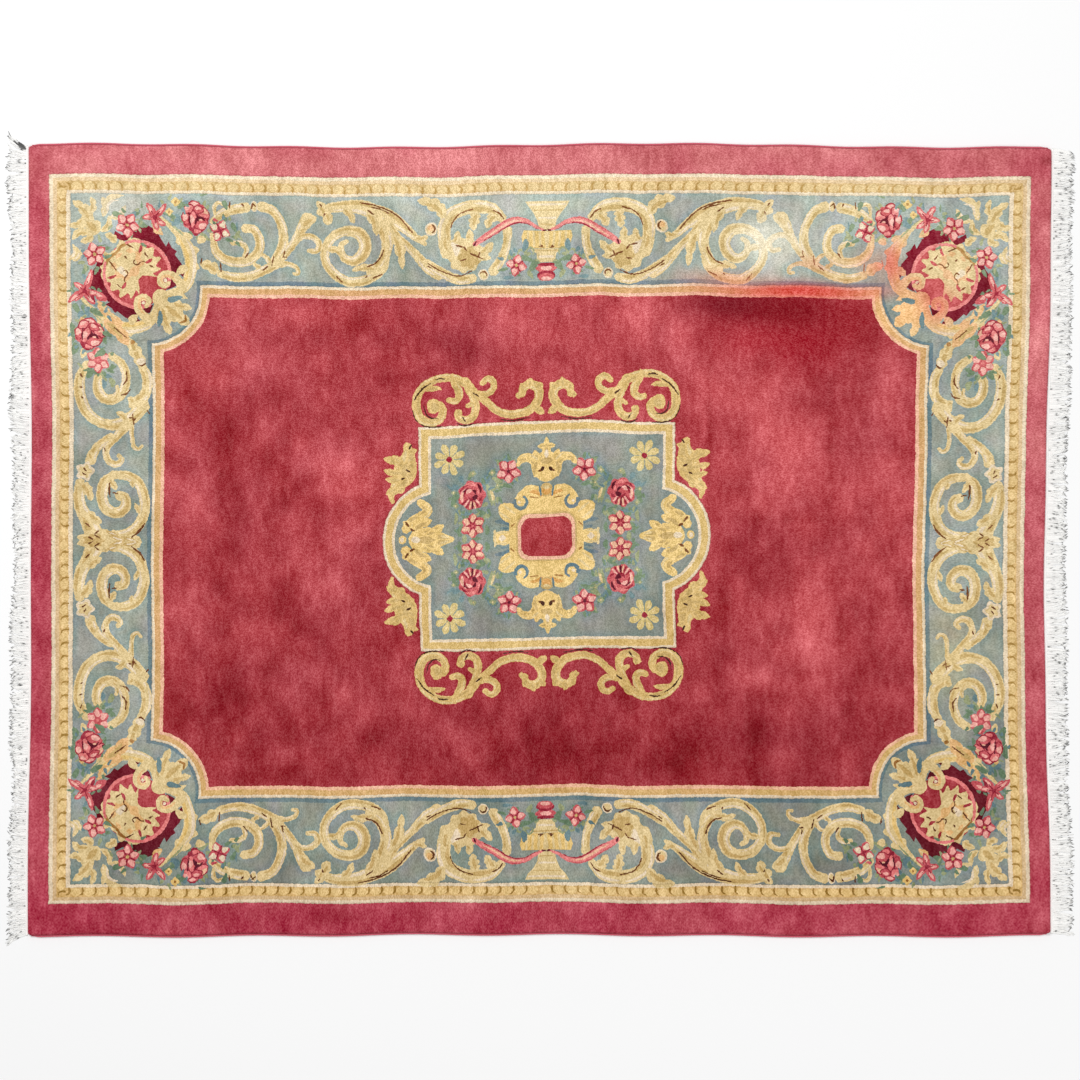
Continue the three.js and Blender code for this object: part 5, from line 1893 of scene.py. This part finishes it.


def lay_pile():
    """All pieces of the pile, cut from one net so that they meet exactly."""
    rng = np.random.default_rng(7)
    shapes, areas = all_shapes()
    points, triangles, wools, area, groove = net_of_knots(shapes, areas, rng)
    distance = distance_to(points, groove)
    nearness = np.exp(-((distance / NEAR_MOTIFS) ** 2))
    net = {
        "points": points, "triangles": triangles, "heights": pile_heights(points, distance),
        "colours": pile_colours(points, triangles, wools, nearness),
    }
    guard = np.array(GUARD)
    border = guard - GUARD_LAYERS[-1][1:]
    around = ring_panels(border, BORDER_INNER)
    lobes = (LOBE_RADIUS + MEDALLION_LOBE[0], MEDALLION[1] + MEDALLION_BOW)
    # The border is parted into its long runs and the short ones between them
    short_run = np.abs(points[triangles].mean(axis=1)[:, 1]) < BORDER_INNER[1]
    plans = (  # name, its triangles, and its panels on the texture
        ("pile_margin", area == 0, ring_panels(BODY_HALF, guard)),
        ("pile_guard", area == 1, ring_panels(guard, border)),
        ("pile_border_long", (area == 2) & ~short_run, around[:4]),
        ("pile_border_short", (area == 2) & short_run, around[4:]),
        ("pile_field", area == 3, [((0.0, 0.0), FIELD, False)]),
        ("pile_medallion", area == 4, [(MEDALLION_SHIFT, lobes, False)]),
    )
    return [pile_piece(name, net, chosen, panels) for name, chosen, panels in plans]


pile = lay_pile()
wool = pile_material()
for piece in pile:
    piece.data.materials.append(wool)
    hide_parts("rug_body")
    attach(piece, "root")

base = foundation()
base.data.materials.append(plain_material("cotton_foundation", COTTON_BELOW, 0.95, 0.0))
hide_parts("rug_body")
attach(base, "root")

crimson_yarn = plain_material("wool_selvedge", CRIMSON_YARN, 0.9, 0.05)
for node, outward in (("selvedge_back", 1), ("selvedge_front", -1)):
    cord = selvedge(f"{node}_cord", outward)
    cord.data.materials.append(crimson_yarn)
    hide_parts(node)
    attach(cord, "root")

cotton = yarn_material("cotton_fringe", 0.9)
for node, *measures in FRINGES:
    yarns = fringe(f"{node}_yarn", *measures)
    yarns.data.materials.append(cotton)
    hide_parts(node)
    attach(yarns, "root")

# Floor, lights and camera, in metres; columns and rows are those of the photo
PHOTO_SIDE = 1080
PHOTO_MIDDLE = (538.4, 540.5)  # column and row of the rug's middle
CAMERA_HEIGHT = 14.0
SENSOR = 36.0  # in millimetres
FLOOR_REACH = 30.0
FLOOR_BELOW = 0.0005
FLOOR_COLOUR = (247, 247, 247)
LAMPS = (("key", (-4.0, 5.5, 9.5), 5.0, 712), ("fill", (6.0, -4.0, 9.0), 7.0, 345))  # place, size, watts
SKY_STRENGTH = 0.48


def floor():
    """The even floor of the studio."""
    reach = FLOOR_REACH
    corners = [(x, y, -FLOOR_BELOW) for x, y in (
        (-reach, -reach), (reach, -reach), (reach, reach), (-reach, reach),
    )]
    mesh = bpy.data.meshes.new("floor")
    mesh.from_pydata(corners, [], [(0, 1, 2, 3)])
    plane = bpy.data.objects.new("floor", mesh)
    bpy.context.collection.objects.link(plane)
    plane.data.materials.append(plain_material("floor", FLOOR_COLOUR, 0.9, 0.0))


def lamp(name, place, size, power):
    """A square lamp that shines on the rug's middle."""
    data = bpy.data.lights.new(name, "AREA")
    data.shape = "SQUARE"
    data.size = size
    data.energy = power
    light = bpy.data.objects.new(name, data)
    light.location = place
    light.rotation_euler = (-Vector(place)).to_track_quat("-Z", "Y").to_euler()
    bpy.context.collection.objects.link(light)


floor()
for measures in LAMPS:
    lamp(*measures)
world = bpy.data.worlds.new("studio")
world.use_nodes = True
sky = world.node_tree.nodes["Background"]
sky.inputs["Color"].default_value = (1.0, 1.0, 1.0, 1.0)
sky.inputs["Strength"].default_value = SKY_STRENGTH
bpy.context.scene.world = world
bpy.context.scene.view_settings.view_transform = "Standard"

eye = bpy.data.cameras.new("camera")
eye.sensor_width = SENSOR
eye.lens = SENSOR * CAMERA_HEIGHT / (PHOTO_SIDE * KNOT_MM * MM)
camera = bpy.data.objects.new("camera", eye)
middle_x = (PHOTO_SIDE / 2 - PHOTO_MIDDLE[0]) * KNOT_MM + SHIFT[0]
middle_y = (PHOTO_MIDDLE[1] - PHOTO_SIDE / 2) * KNOT_MM + SHIFT[1]
camera.location = (middle_x * MM, middle_y * MM, CAMERA_HEIGHT)
bpy.context.collection.objects.link(camera)
bpy.context.scene.camera = camera
